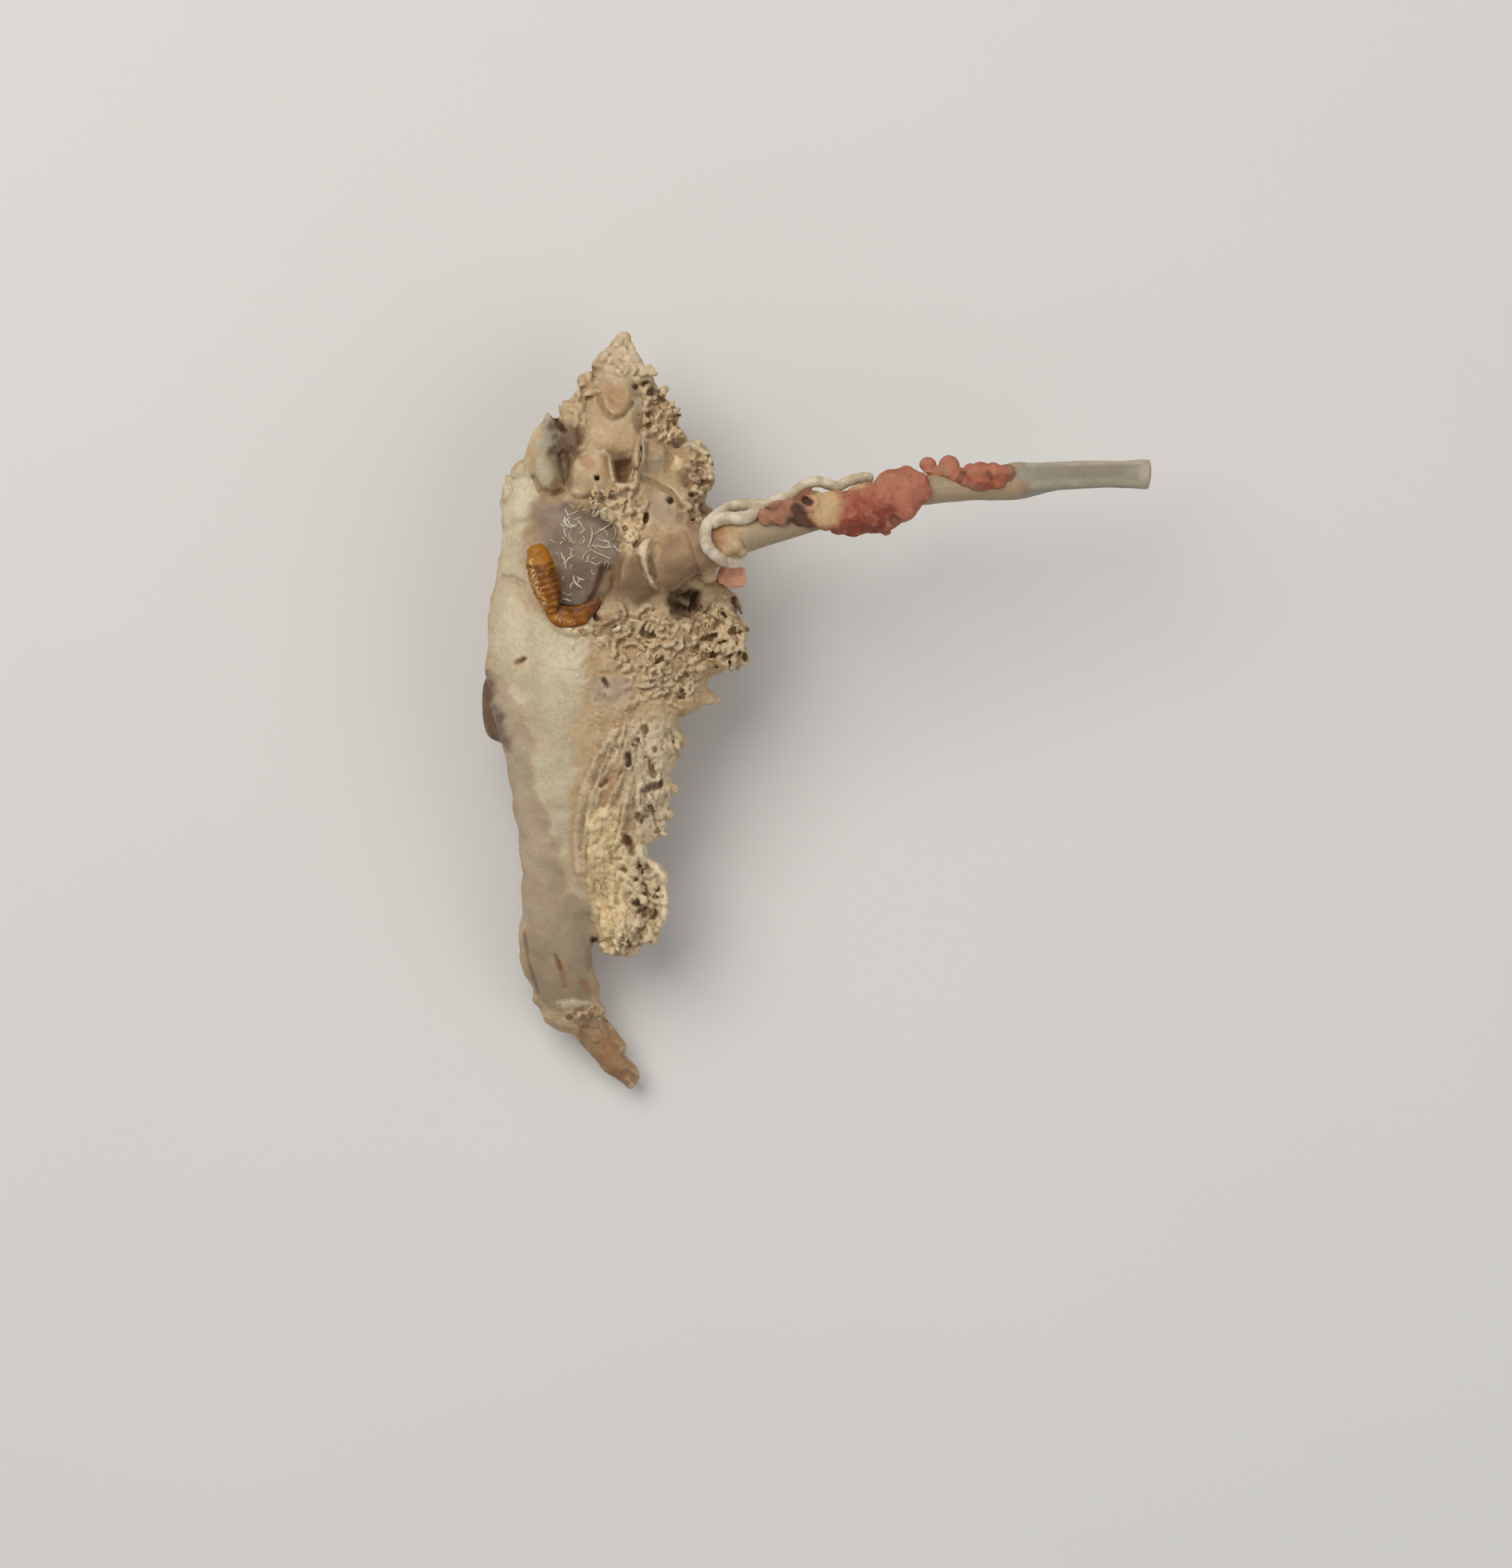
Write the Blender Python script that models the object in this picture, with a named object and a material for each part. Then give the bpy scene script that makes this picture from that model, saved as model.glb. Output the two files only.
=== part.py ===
"""An encrusted typhid sea shell with a long anal tube, lying on its back with the mouth upwards.

The shell's frame is in millimetres until a point becomes a mesh point: +Y runs from the canal to the
apex, +X to the side that the anal tube points to and +Z up, away from the surface that it lies on.
"""

import math

import bmesh
import bpy
from mathutils import Matrix, Vector

MM = 0.001

# Driving dimensions of the shell, in millimetres and degrees
SHELL_LENGTH = 24.0
APEX_Y = SHELL_LENGTH / 2
AXIS_HEIGHT = 3.7
AXIS_LEAN = 0.07
LYING_X = -6.03
GAP = 0.05

# The coiling: sizes at the lip, and how they grow with each turn
WHORL_GROWTH = 1.5
WHORL_TURNS = 4.6
LIP_ANGLE = math.radians(100)
LIP_DROP = 7.5
SPIRE_SQUAT = 1.15
WHORL_OFFSET = 1.45
WHORL_RADIUS = 2.15
VARIX_STEP = math.radians(90)
VARIX_LIFT = 0.25

# Mesh fineness
FUSE_VOXEL = 0.13
SHELL_FACES = 6400
CRUST_FACES = 560
CRUST_VOXEL = 0.1
WEAR_SIZE = 0.7
WEAR_DEPTH = 0.26
CRUST_WEAR = 0.15
WEAR_LEVEL = 0.75
CRUST_GAP = 0.075

# The solid middle of the shell, round its coiling axis: centre line (x, y, z) and radius
CORE_LINE = [
    (0.0, 11.35, 3.7, 0.42),
    (-0.03, 10.7, 3.7, 0.8),
    (-0.08, 9.9, 3.7, 1.15),
    (-0.2, 9.0, 3.7, 1.5),
    (-0.25, 7.8, 3.65, 1.9),
    (-0.5, 5.5, 3.5, 2.5),
    (-0.7, 3.0, 3.4, 2.5),
    (-0.75, 0.5, 3.3, 2.0),
    (-0.9, -2.0, 3.2, 1.4),
    (-1.2, -4.5, 2.9, 0.95),
    (-1.3, -6.6, 2.4, 0.7),
]

# The swelling front of the body whorl, which narrows down to the canal: centre line and half width
FRONT_LINE = [
    (-0.9, 3.4, 4.7, 2.4),
    (-0.85, 1.7, 4.6, 2.6),
    (-0.9, 0.0, 4.5, 2.35),
    (-0.95, -1.6, 4.3, 2.0),
    (-1.05, -3.2, 4.0, 1.65),
    (-1.2, -4.8, 3.5, 1.3),
    (-1.4, -6.2, 2.9, 1.05),
]
FRONT_FLATNESS = 0.62

# The anal tube: centre line and radius
TUBE_LINE = [
    (-0.4, 3.9, 5.5, 1.0),
    (0.7, 4.45, 6.0, 1.02),
    (1.75, 4.78, 6.35, 0.92),
    (3.01, 5.18, 6.45, 0.72),
    (4.25, 5.53, 6.5, 0.55),
    (5.49, 5.85, 6.5, 0.52),
    (6.97, 6.25, 6.45, 0.49),
    (9.2, 6.75, 6.35, 0.46),
    (11.24, 6.92, 6.2, 0.46),
    (12.13, 7.03, 6.1, 0.59),
    (12.67, 7.1, 6.05, 0.54),
    (13.51, 7.23, 6.0, 0.45),
    (15.79, 7.26, 5.85, 0.43),
    (16.37, 7.26, 5.8, 0.46),
]
TUBE_GRAINS = [
    (3.05, 92, 0.24),
    (3.3, 108, 0.3),
    (3.35, 84, 0.26),
    (3.6, 98, 0.24),
]
TUBE_RIDGE_X = 0.95
TUBE_RIDGE_RADIUS = 0.13
TUBE_BORE = 0.21
TUBE_BORE_DEPTH = 1.2

# The siphonal canal: centre line and radius, from the body whorl to its broken tip
CANAL_LINE = [
    (-1.5, 1.5, 4.3, 1.95),
    (-2.1, -0.8, 4.2, 1.62),
    (-2.32, -2.8, 3.9, 1.28),
    (-2.33, -4.6, 3.3, 1.12),
    (-2.26, -6.3, 2.6, 1.14),
    (-2.28, -7.55, 2.1, 1.22),
    (-2.08, -8.85, 1.65, 1.18),
    (-1.7, -9.65, 1.35, 0.92),
    (-1.08, -10.25, 1.15, 0.66),
    (-0.5, -10.98, 0.95, 0.6),
    (0.0, -11.62, 0.85, 0.48),
    (0.38, -12.05, 0.8, 0.3),
]

# The rough lobe beside the canal, left by the canal before it
OLD_CANAL_LINE = [
    (1.0, 1.5, 4.3, 1.6),
    (0.7, -0.6, 4.2, 1.25),
    (0.35, -2.6, 3.9, 1.1),
    (-0.15, -4.2, 3.5, 0.85),
    (0.0, -5.1, 3.2, 1.1),
    (0.05, -6.1, 2.9, 1.18),
    (-0.02, -7.05, 2.6, 1.02),
    (-0.15, -7.72, 2.5, 0.6),
]

OLD_CANAL_FLATNESS = 0.75

# The smooth pale callus down the left of the mouth
CALLUS_LINE = [
    (-2.8, 7.3, 4.5, 0.68),
    (-2.88, 6.3, 4.7, 1.0),
    (-2.95, 4.9, 4.8, 1.0),
    (-3.12, 3.4, 4.9, 1.17),
    (-3.05, 1.6, 4.9, 1.32),
    (-2.85, -0.3, 4.6, 1.24),
    (-2.6, -2.2, 4.1, 1.1),
]

# The mouth and the horny lid in it
MOUTH_CENTRE = (-1.35, 4.4, 7.0)
MOUTH_RADII = (1.3, 1.8, 1.05)
HOLLOWS = [
    ((-0.05, 7.45, 6.8), (0.3, 0.55, 0.75), 4),
    ((1.75, 3.3, 6.5), (0.55, 0.42, 0.8), 25),
    ((3.45, 3.15, 5.6), (0.25, 0.2, 0.4), 10),
    ((2.95, 2.4, 5.7), (0.26, 0.22, 0.4), 0),
    ((-2.0, 9.0, 5.1), (0.12, 0.5, 0.5), 25),
    ((0.75, -5.6, 3.95), (0.2, 1.0, 0.4), 6),
]
LID_LINE = [
    (-2.86, 5.15, 6.45, 0.14),
    (-2.8, 4.75, 6.5, 0.36),
    (-2.6, 4.15, 6.55, 0.43),
    (-2.42, 3.6, 6.5, 0.38),
    (-2.1, 3.1, 6.4, 0.28),
    (-1.7, 2.86, 6.35, 0.25),
    (-1.2, 2.9, 6.3, 0.23),
    (-0.85, 3.2, 6.25, 0.12),
]

# Lumps of crust on the anal tube: (x along it, degrees round it from its top edge to the front, radius)
PINK_LUMPS = [
    (4.5, 62, 0.34),
    (4.9, 78, 0.36),
    (5.35, 60, 0.42),
    (5.7, 92, 0.42),
    (6.0, 62, 0.48),
    (6.15, 110, 0.45),
    (6.55, 80, 0.5),
    (6.6, 130, 0.5),
    (7.0, 105, 0.55),
    (7.15, 150, 0.52),
    (7.5, 75, 0.5),
    (7.55, 132, 0.62),
    (7.95, 150, 0.6),
    (8.0, 100, 0.55),
    (8.35, 55, 0.5),
    (8.45, 125, 0.58),
    (8.65, 150, 0.45),
    (8.8, 80, 0.48),
    (8.85, 28, 0.4),
    (9.15, 60, 0.4),
    (9.2, 105, 0.36),
]
OUTER_LUMPS = [
    (9.55, 10, 0.24),
    (10.15, 25, 0.38),
    (10.9, 45, 0.36),
    (11.4, 50, 0.36),
    (11.9, 60, 0.28),
]
KNOB_LINE = [
    (3.2, 4.12, 5.15, 0.3),
    (3.5, 4.1, 5.25, 0.36),
    (3.8, 4.12, 5.3, 0.26),
]

# The worm's chalky tube: (x along the anal tube, degrees round it, clearance above it)
WORM_PATH = [
    (3.7, 126, 0.0),
    (3.4, 135, 0.0),
    (3.05, 134, 0.0),
    (2.7, 118, 0.0),
    (2.5, 95, 0.0),
    (2.48, 74, 0.0),
    (2.65, 50, 0.0),
    (2.95, 32, 0.0),
    (3.35, 20, 0.05),
    (3.75, 24, 0.1),
    (4.1, 34, 0.1),
    (4.38, 18, 0.05),
    (4.5, -8, 0.0),
    (4.75, -18, 0.0),
    (5.05, 0, 0.0),
    (5.3, -4, 0.0),
    (5.5, -22, 0.0),
    (5.8, -8, 0.08),
    (6.15, 0, 0.12),
    (6.5, -10, 0.06),
    (6.85, -34, 0.0),
    (7.2, -16, 0.02),
    (7.55, -4, 0.04),
    (7.85, -14, 0.0),
    (8.05, -38, 0.0),
]
WORM_RADIUS = 0.21
WORM_SEAT = 0.02
WORM_TAPER = 0.3


# The keels down the back: they run from the ribs of the last whorl to the canal
KEEL_LINES = [
    [
        (-1.3, 7.4, 2.4, 0.3),
        (-2.1, 5.6, 1.4, 0.5),
        (-2.4, 3.9, 1.0, 0.55),
        (-2.4, 2.2, 1.2, 0.55),
        (-2.35, 0.4, 2.1, 0.48),
        (-2.3, -1.4, 3.1, 0.36),
    ],
    [
        (0.9, 7.5, 2.5, 0.3),
        (1.6, 5.7, 1.4, 0.5),
        (1.85, 4.0, 1.0, 0.55),
        (1.75, 2.2, 1.1, 0.55),
        (1.3, 0.4, 1.9, 0.48),
        (0.65, -1.4, 2.8, 0.36),
    ],
    [
        (-0.4, 6.2, 1.9, 0.35),
        (-0.5, 4.2, 1.6, 0.4),
        (-0.8, 1.9, 1.8, 0.42),
        (-1.2, -0.7, 2.2, 0.45),
        (-1.65, -3.4, 2.3, 0.42),
        (-1.95, -5.8, 1.6, 0.42),
        (-2.05, -7.6, 0.85, 0.46),
        (-1.8, -8.8, 0.85, 0.32),
    ],
]
KEEL_HEIGHT = 2.6

# The frilled rib along the right edge: lumps (centre, radii, turn) and then spines (foot, tip, radius),
# with the spines that show at the edges of the spire
WING_LUMPS = [
    ((2.4, 8.0, 4.5), (0.4, 0.62, 0.6), 20),
    ((2.5, 7.2, 4.7), (0.4, 0.62, 0.7), 0),
    ((2.15, 6.3, 4.9), (0.42, 0.8, 0.8), 0),
    ((2.1, 5.0, 5.0), (0.7, 1.1, 1.0), 10),
    ((2.75, 3.5, 4.8), (0.7, 0.75, 0.8), -10),
    ((3.1, 2.2, 4.7), (0.85, 1.02, 0.75), -5),
    ((2.2, 1.7, 4.7), (1.1, 0.9, 1.0), -25),
    ((1.6, 0.4, 4.5), (0.85, 0.95, 0.85), -15),
    ((1.25, -0.9, 4.3), (0.62, 1.0, 0.7), -8),
    ((1.0, -2.4, 4.0), (0.5, 1.1, 0.6), 5),
    ((0.8, -3.6, 3.7), (0.4, 0.7, 0.55), 5),
]
EDGE_SPINES = [
    ((2.9, 3.0, 4.7), (4.15, 2.45, 4.7), 0.4),
    ((3.0, 1.75, 4.6), (4.2, 1.32, 4.6), 0.45),
    ((2.9, 3.3, 4.7), (3.75, 3.75, 4.7), 0.35),
    ((1.8, 0.55, 4.4), (3.35, 0.12, 4.4), 0.5),
    ((1.3, -0.9, 4.2), (2.1, -1.15, 4.2), 0.4),
    ((1.0, -1.9, 4.0), (1.78, -2.45, 4.0), 0.36),
    ((1.0, -2.9, 3.9), (1.75, -3.3, 3.9), 0.34),
    ((0.7, -3.6, 3.7), (1.5, -4.0, 3.7), 0.3),
    ((0.9, 9.2, 4.1), (1.42, 10.2, 4.1), 0.38),
    ((0.5, 10.0, 3.9), (1.15, 10.65, 3.9), 0.34),
    ((1.3, 8.8, 4.2), (1.95, 9.5, 4.2), 0.42),
    ((2.2, 7.9, 4.4), (2.75, 8.55, 4.4), 0.4),
    ((2.4, 7.2, 4.5), (3.05, 7.35, 4.5), 0.45),
    ((-0.8, 9.8, 3.9), (-1.55, 10.42, 3.9), 0.42),
    ((-1.5, 8.9, 4.0), (-2.2, 9.55, 4.0), 0.45),
    ((-2.6, 6.9, 4.3), (-3.75, 7.45, 4.3), 0.6),
    ((-2.2, 8.2, 4.5), (-2.5, 9.65, 4.6), 0.38),
    ((-0.3, 10.5, 3.8), (-1.1, 11.05, 3.8), 0.42),
]

# The broken tubes and plates of earlier ribs, which overlap like scales down the spire: lumps
# (centre, radii, turn, tilt), and then thin upright plates (stations, height to width)
SPIRE_SCALES = [
    ((-0.35, 9.8, 4.95), (0.55, 0.85, 0.35), 2, 38),
    ((-0.4, 8.8, 5.4), (0.95, 1.15, 0.6), 5, 30),
    ((-0.98, 7.3, 6.25), (0.66, 0.98, 0.42), -4, 10),
    ((0.55, 9.5, 4.7), (0.38, 0.5, 0.3), -10, 38),
    ((1.2, 9.0, 4.5), (0.6, 0.85, 0.5), -15, 25),
    ((0.9, 7.9, 5.55), (0.6, 0.65, 0.45), 0, 25),
    ((1.85, 7.45, 5.05), (0.8, 0.8, 0.45), -20, 15),
    ((1.3, 6.3, 5.85), (0.95, 0.9, 0.5), -8, 8),
    ((-1.6, 8.75, 4.9), (0.5, 0.75, 0.5), 12, 20),
    ((-1.05, 9.75, 4.4), (0.45, 0.6, 0.4), 15, 25),
    ((-2.45, 7.35, 5.3), (0.42, 0.72, 0.42), 12, 8),
]
SPIRE_PLATES = [
    ([(0.55, 8.5, 5.9, 0.12), (0.48, 7.8, 6.6, 0.17), (0.35, 6.9, 6.75, 0.17)], 1.7),
    ([(-2.4, 9.2, 4.6, 0.1), (-2.5, 8.7, 4.7, 0.32), (-2.7, 7.9, 4.9, 0.5), (-2.9, 6.8, 5.0, 0.65)], 0.8),
    ([(-1.95, 9.3, 4.3, 0.15), (-1.75, 8.7, 4.6, 0.4), (-1.6, 7.8, 5.0, 0.45)], 0.8),
]

# The front of the body whorl: lumps round the mouth and down the left, the ridge right of the mouth,
# the web between the canal and the old canal's lobe, and the root of the anal tube
FRONT_LUMPS = [
    ((-1.4, 4.3, 5.0), (2.0, 2.7, 1.75), 0),
    ((0.1, 5.0, 5.5), (1.2, 1.9, 1.45), 5),
    ((0.4, 2.6, 5.1), (2.2, 1.4, 1.15), -12),
    ((-3.15, 6.35, 4.5), (0.68, 0.95, 0.9), -5),
    ((-3.3, 4.6, 4.7), (0.62, 1.1, 1.0), 0),
    ((-3.3, 2.4, 4.7), (0.92, 1.35, 1.1), 0),
    ((-3.95, 0.15, 3.6), (0.7, 1.3, 0.5), -3),
    ((-3.05, -7.9, 1.4), (0.45, 1.4, 0.35), 8),
    ((-2.3, -9.8, 1.35), (0.45, 0.45, 0.4), 0),
    ((-1.2, 6.3, 6.1), (0.8, 0.7, 0.65), 10),
    ((0.3, 6.6, 6.1), (0.75, 0.7, 0.7), 0),
]
MOUTH_RIDGE = [
    (-0.7, 2.6, 5.9, 0.5),
    (0.0, 3.4, 6.25, 0.45),
    (0.1, 4.4, 6.45, 0.4),
    (0.0, 5.6, 6.45, 0.4),
    (-0.6, 6.4, 6.3, 0.35),
]
CANAL_WEB = [
    (-1.0, -0.5, 3.9, 1.1),
    (-0.85, -2.6, 3.7, 0.9),
    (-0.85, -4.6, 3.2, 0.78),
    (-0.85, -6.3, 2.6, 0.7),
    (-0.85, -7.2, 2.35, 0.5),
]
TUBE_ROOT = [
    (0.2, 3.9, 5.4, 0.95),
    (1.2, 4.3, 5.5, 1.0),
    (2.2, 4.6, 5.5, 0.7),
]


def clear_scene():
    for obj in list(bpy.data.objects):
        bpy.data.objects.remove(obj)


def finish_material(name, colour, roughness):
    made = bpy.data.materials.new(name)
    made.use_nodes = True
    shader = made.node_tree.nodes["Principled BSDF"]
    shader.inputs["Base Color"].default_value = (*colour, 1)
    shader.inputs["Roughness"].default_value = roughness
    return made


def between(line, steps):
    """The line's points and radii, joined by a smooth curve with that many steps to each stretch."""
    points = [Vector(station) for station in line]
    ends = [2 * points[0] - points[1], *points, 2 * points[-1] - points[-2]]
    made = []
    for i in range(1, len(ends) - 2):
        a, b, c, d = ends[i - 1 : i + 3]
        for step in range(steps):
            t = step / steps
            curve = (c - a) * t + (2 * a - 5 * b + 4 * c - d) * t**2 + (3 * b - a - 3 * c + d) * t**3
            made.append(b + 0.5 * curve)
    made.append(points[-1])
    return made


def smooth_line(line, steps=3):
    """[(centre, radius)] along a line of (x, y, z, radius) stations."""
    columns = [Vector((x, y, z)) for x, y, z, _ in line]
    radii = [Vector((radius, 0, 0)) for *_, radius in line]
    return [
        (centre, radius.x)
        for centre, radius in zip(between(columns, steps), between(radii, steps))
    ]


def add_loft(mesh, stations, sides=14, flat=1.0, grown=0.0):
    """A closed round body through (centre, radius) stations, grown on all sides. flat scales its height."""
    if grown:
        first = (stations[0][0] - stations[1][0]).normalized() * grown
        last = (stations[-1][0] - stations[-2][0]).normalized() * grown
        ends = (stations[0][0] + first, stations[0][1]), (stations[-1][0] + last, stations[-1][1])
        grown_line = [ends[0], *stations[1:-1], ends[1]]
        stations = [(centre, radius + grown) for centre, radius in grown_line]
    rings = []
    for i, (centre, radius) in enumerate(stations):
        ahead = stations[min(i + 1, len(stations) - 1)][0]
        behind = stations[max(i - 1, 0)][0]
        along = (ahead - behind).normalized()
        side = along.cross(Vector((0, 0, 1)))
        side = side.normalized() if side.length > 1e-6 else Vector((1, 0, 0))
        up = side.cross(along)
        rings.append(
            [
                mesh.verts.new(
                    (centre + radius * (math.cos(turn) * side + flat * math.sin(turn) * up)) * MM
                )
                for turn in (2 * math.pi * k / sides for k in range(sides))
            ]
        )
    for ring, following in zip(rings, rings[1:]):
        for k in range(sides):
            mesh.faces.new((ring[k], ring[(k + 1) % sides], following[(k + 1) % sides], following[k]))
    mesh.faces.new(reversed(rings[0]))
    mesh.faces.new(rings[-1])


def add_lump(mesh, centre, radii, turn=0.0, tilt=0.0):
    """An ellipsoid, turned in the plan view, and tilted so that its canal end rises, in degrees."""
    place = (
        Matrix.Translation(Vector(centre) * MM)
        @ Matrix.Rotation(math.radians(turn), 4, "Z")
        @ Matrix.Rotation(-math.radians(tilt), 4, "X")
        @ Matrix.Diagonal((*[radius * MM for radius in radii], 1))
    )
    bmesh.ops.create_icosphere(mesh, subdivisions=3, radius=1, matrix=place)


def add_spine(mesh, base, tip, radius):
    """A pointed spine with a rounded foot."""
    base, tip = Vector(base), Vector(tip)
    add_loft(
        mesh,
        [
            (base, radius),
            (base.lerp(tip, 0.5), radius * 0.62),
            (base.lerp(tip, 0.85), radius * 0.3),
            (tip, radius * 0.1),
        ],
        sides=8,
    )


def add_grains(mesh, stations, flat, turns, size):
    """Grains and shards of crust, some larger and some left out, over the front of a loft."""
    for i, (centre, radius) in enumerate(stations):
        for k, degrees in enumerate(turns):
            chance = math.sin(12.9 * i + 7.1 * k)
            turn = math.radians(degrees + 6 * chance)
            place = centre + radius * Vector((math.cos(turn), 0.12 * chance, flat * math.sin(turn)))
            if chance > -0.6:
                wide = size * (1 + 0.35 * chance)
                add_lump(mesh, place, (wide, wide * 1.3, wide * 0.9), 50 * chance)


def axis_point(y):
    """The coiling axis leans a little as it runs down from the apex."""
    return Vector((-AXIS_LEAN * (APEX_Y - y), y, AXIS_HEIGHT))


def whorl(turns):
    """(centre, radius, outward direction, growth) of the whorl's round section, turns back from the lip."""
    growth = WHORL_GROWTH**turns
    angle = LIP_ANGLE + 2 * math.pi * turns
    outward = Vector((math.cos(angle), 0, math.sin(angle)))
    centre = axis_point(APEX_Y - LIP_DROP * growth**SPIRE_SQUAT) + outward * WHORL_OFFSET * growth
    return centre, WHORL_RADIUS * growth, outward, growth


def add_whorls(mesh):
    steps = 22
    count = round(WHORL_TURNS * steps)
    stations = [whorl(i / steps - WHORL_TURNS)[:2] for i in range(count + 1)]
    add_loft(mesh, stations, sides=16)
    add_lump(mesh, (0, APEX_Y - 0.35, AXIS_HEIGHT), (0.36, 0.38, 0.36))
    add_loft(mesh, smooth_line(CORE_LINE), sides=14)


def add_varices(mesh):
    """A rib on every quarter turn, with spines down it, and a broken tube in each space between ribs."""
    up = Vector((0, 1, 0))
    for number in range(1, 15):
        centre, radius, outward, growth = whorl(-number * VARIX_STEP / (2 * math.pi) - 0.06)
        rib = []
        reach = radius + VARIX_LIFT * growth
        for step in range(9):
            lift = math.radians(100 - 20 * step)
            way = outward * math.cos(lift) + up * math.sin(lift)
            rib.append((centre + way * reach, 0.4 * growth + 0.05))
        add_loft(mesh, rib, sides=8)
        for lift, length in ((60, 0.75), (34, 0.45), (8, 0.4), (-18, 0.45), (-42, 0.4)):
            way = outward * math.cos(math.radians(lift)) + up * math.sin(math.radians(lift))
            foot = centre + way * radius
            add_spine(mesh, foot, foot + way * (0.4 + length) * growth, 0.34 * growth + 0.05)
    for number in range(1, 9):
        centre, radius, outward, growth = whorl(-(number + 0.5) * VARIX_STEP / (2 * math.pi) - 0.06)
        way = (outward * 0.72 + up * 0.7).normalized()
        foot = centre + way * radius * 0.7
        reaches = ((0, 0.5), (0.7, 0.42), (1.15, 0.4))
        add_loft(mesh, [(foot + way * reach * growth, size * growth) for reach, size in reaches], sides=10)


def add_back_keels(mesh):
    """Tall keels with blunt spines run down the back, and the shell lies on them."""
    for line in KEEL_LINES:
        stations = smooth_line(line)
        add_loft(mesh, stations, sides=12, flat=KEEL_HEIGHT)
        for centre, radius in stations[2:-2:2]:
            outward = Vector((0.25 * (centre.x + 0.6), -0.25, -1)).normalized()
            add_spine(mesh, centre, centre + outward * radius * KEEL_HEIGHT * 1.25, radius * 0.9)


def add_side_wing(mesh):
    for centre, radii, turn in WING_LUMPS:
        add_lump(mesh, centre, radii, turn)
    for base, tip, radius in EDGE_SPINES:
        add_spine(mesh, base, tip, radius)


def add_spire_scales(mesh):
    for centre, radii, turn, tilt in SPIRE_SCALES:
        add_lump(mesh, centre, radii, turn, tilt)
    for line, flat in SPIRE_PLATES:
        add_loft(mesh, smooth_line(line), sides=12, flat=flat)


def add_front_body(mesh):
    """The front of the body whorl round the mouth, and the rough apron that runs down to the lobe."""
    for centre, radii, turn in FRONT_LUMPS:
        add_lump(mesh, centre, radii, turn)
    for line in (MOUTH_RIDGE, CANAL_WEB, TUBE_ROOT):
        add_loft(mesh, smooth_line(line), sides=12)
    add_loft(mesh, smooth_line(FRONT_LINE), sides=20, flat=FRONT_FLATNESS)
    add_grains(mesh, smooth_line(FRONT_LINE)[:10], FRONT_FLATNESS, (18, 30, 42, 54, 66), 0.3)
    add_grains(mesh, smooth_line(OLD_CANAL_LINE)[6:], OLD_CANAL_FLATNESS, (15, 45, 80, 115), 0.22)


def mesh_object(name, build, finish=None):
    """An object whose mesh the build function fills, in the shell's frame."""
    mesh = bmesh.new()
    build(mesh)
    bmesh.ops.recalc_face_normals(mesh, faces=mesh.faces)
    data = bpy.data.meshes.new(name)
    mesh.to_mesh(data)
    mesh.free()
    data.shade_smooth()
    obj = bpy.data.objects.new(name, data)
    bpy.context.scene.collection.objects.link(obj)
    obj.parent = bpy.data.objects["lying_shell"]
    if finish:
        data.materials.append(finish)
    return obj


def as_cutter(obj):
    obj.hide_render = True
    obj.display_type = "WIRE"
    return obj


def fuse(obj, voxel, smoothing, wear_depth):
    """Makes one skin of shapes that overlap, and wears it down unevenly."""
    skin = obj.modifiers.new("fuse", "REMESH")
    skin.mode = "VOXEL"
    skin.voxel_size = voxel * MM
    ease = obj.modifiers.new("ease", "SMOOTH")
    ease.iterations = smoothing
    ease.factor = 0.5
    worn = bpy.data.textures.new(obj.name + "_wear", "CLOUDS")
    worn.noise_scale = WEAR_SIZE * MM
    wear = obj.modifiers.new("wear", "DISPLACE")
    wear.texture = worn
    wear.texture_coords = "LOCAL"
    wear.strength = wear_depth * MM
    wear.mid_level = WEAR_LEVEL


def thin_out(obj, faces):
    """Keeps about this many of the skin's triangles."""
    evaluated = obj.evaluated_get(bpy.context.evaluated_depsgraph_get())
    evaluated.data.calc_loop_triangles()
    thin = obj.modifiers.new("thin", "DECIMATE")
    thin.ratio = min(1.0, faces / len(evaluated.data.loop_triangles))


def cut(obj, cutter, solver="EXACT"):
    away = obj.modifiers.new(cutter.name, "BOOLEAN")
    away.operation = "DIFFERENCE"
    away.solver = solver
    away.object = cutter


def tube_frame(x):
    """(centre, radius, along, towards the top edge, towards the front) of the anal tube at x."""
    stations = smooth_line(TUBE_LINE, 6)
    after = next(i for i, (centre, _) in enumerate(stations) if centre.x >= x - 1e-6)
    (a, radius_a), (b, radius_b) = stations[after - 1], stations[after]
    share = (x - a.x) / (b.x - a.x)
    along = (b - a).normalized()
    front = (Vector((0, 0, 1)) - along * along.z).normalized()
    return a.lerp(b, share), radius_a + (radius_b - radius_a) * share, along, front.cross(along), front


def on_tube(x, degrees, clearance):
    """A point above the anal tube's skin: 0 degrees is its top edge in plan and 90 its front."""
    centre, radius, _, top, front = tube_frame(x)
    turn = math.radians(degrees)
    return centre + (top * math.cos(turn) + front * math.sin(turn)) * (radius + clearance)


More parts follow.
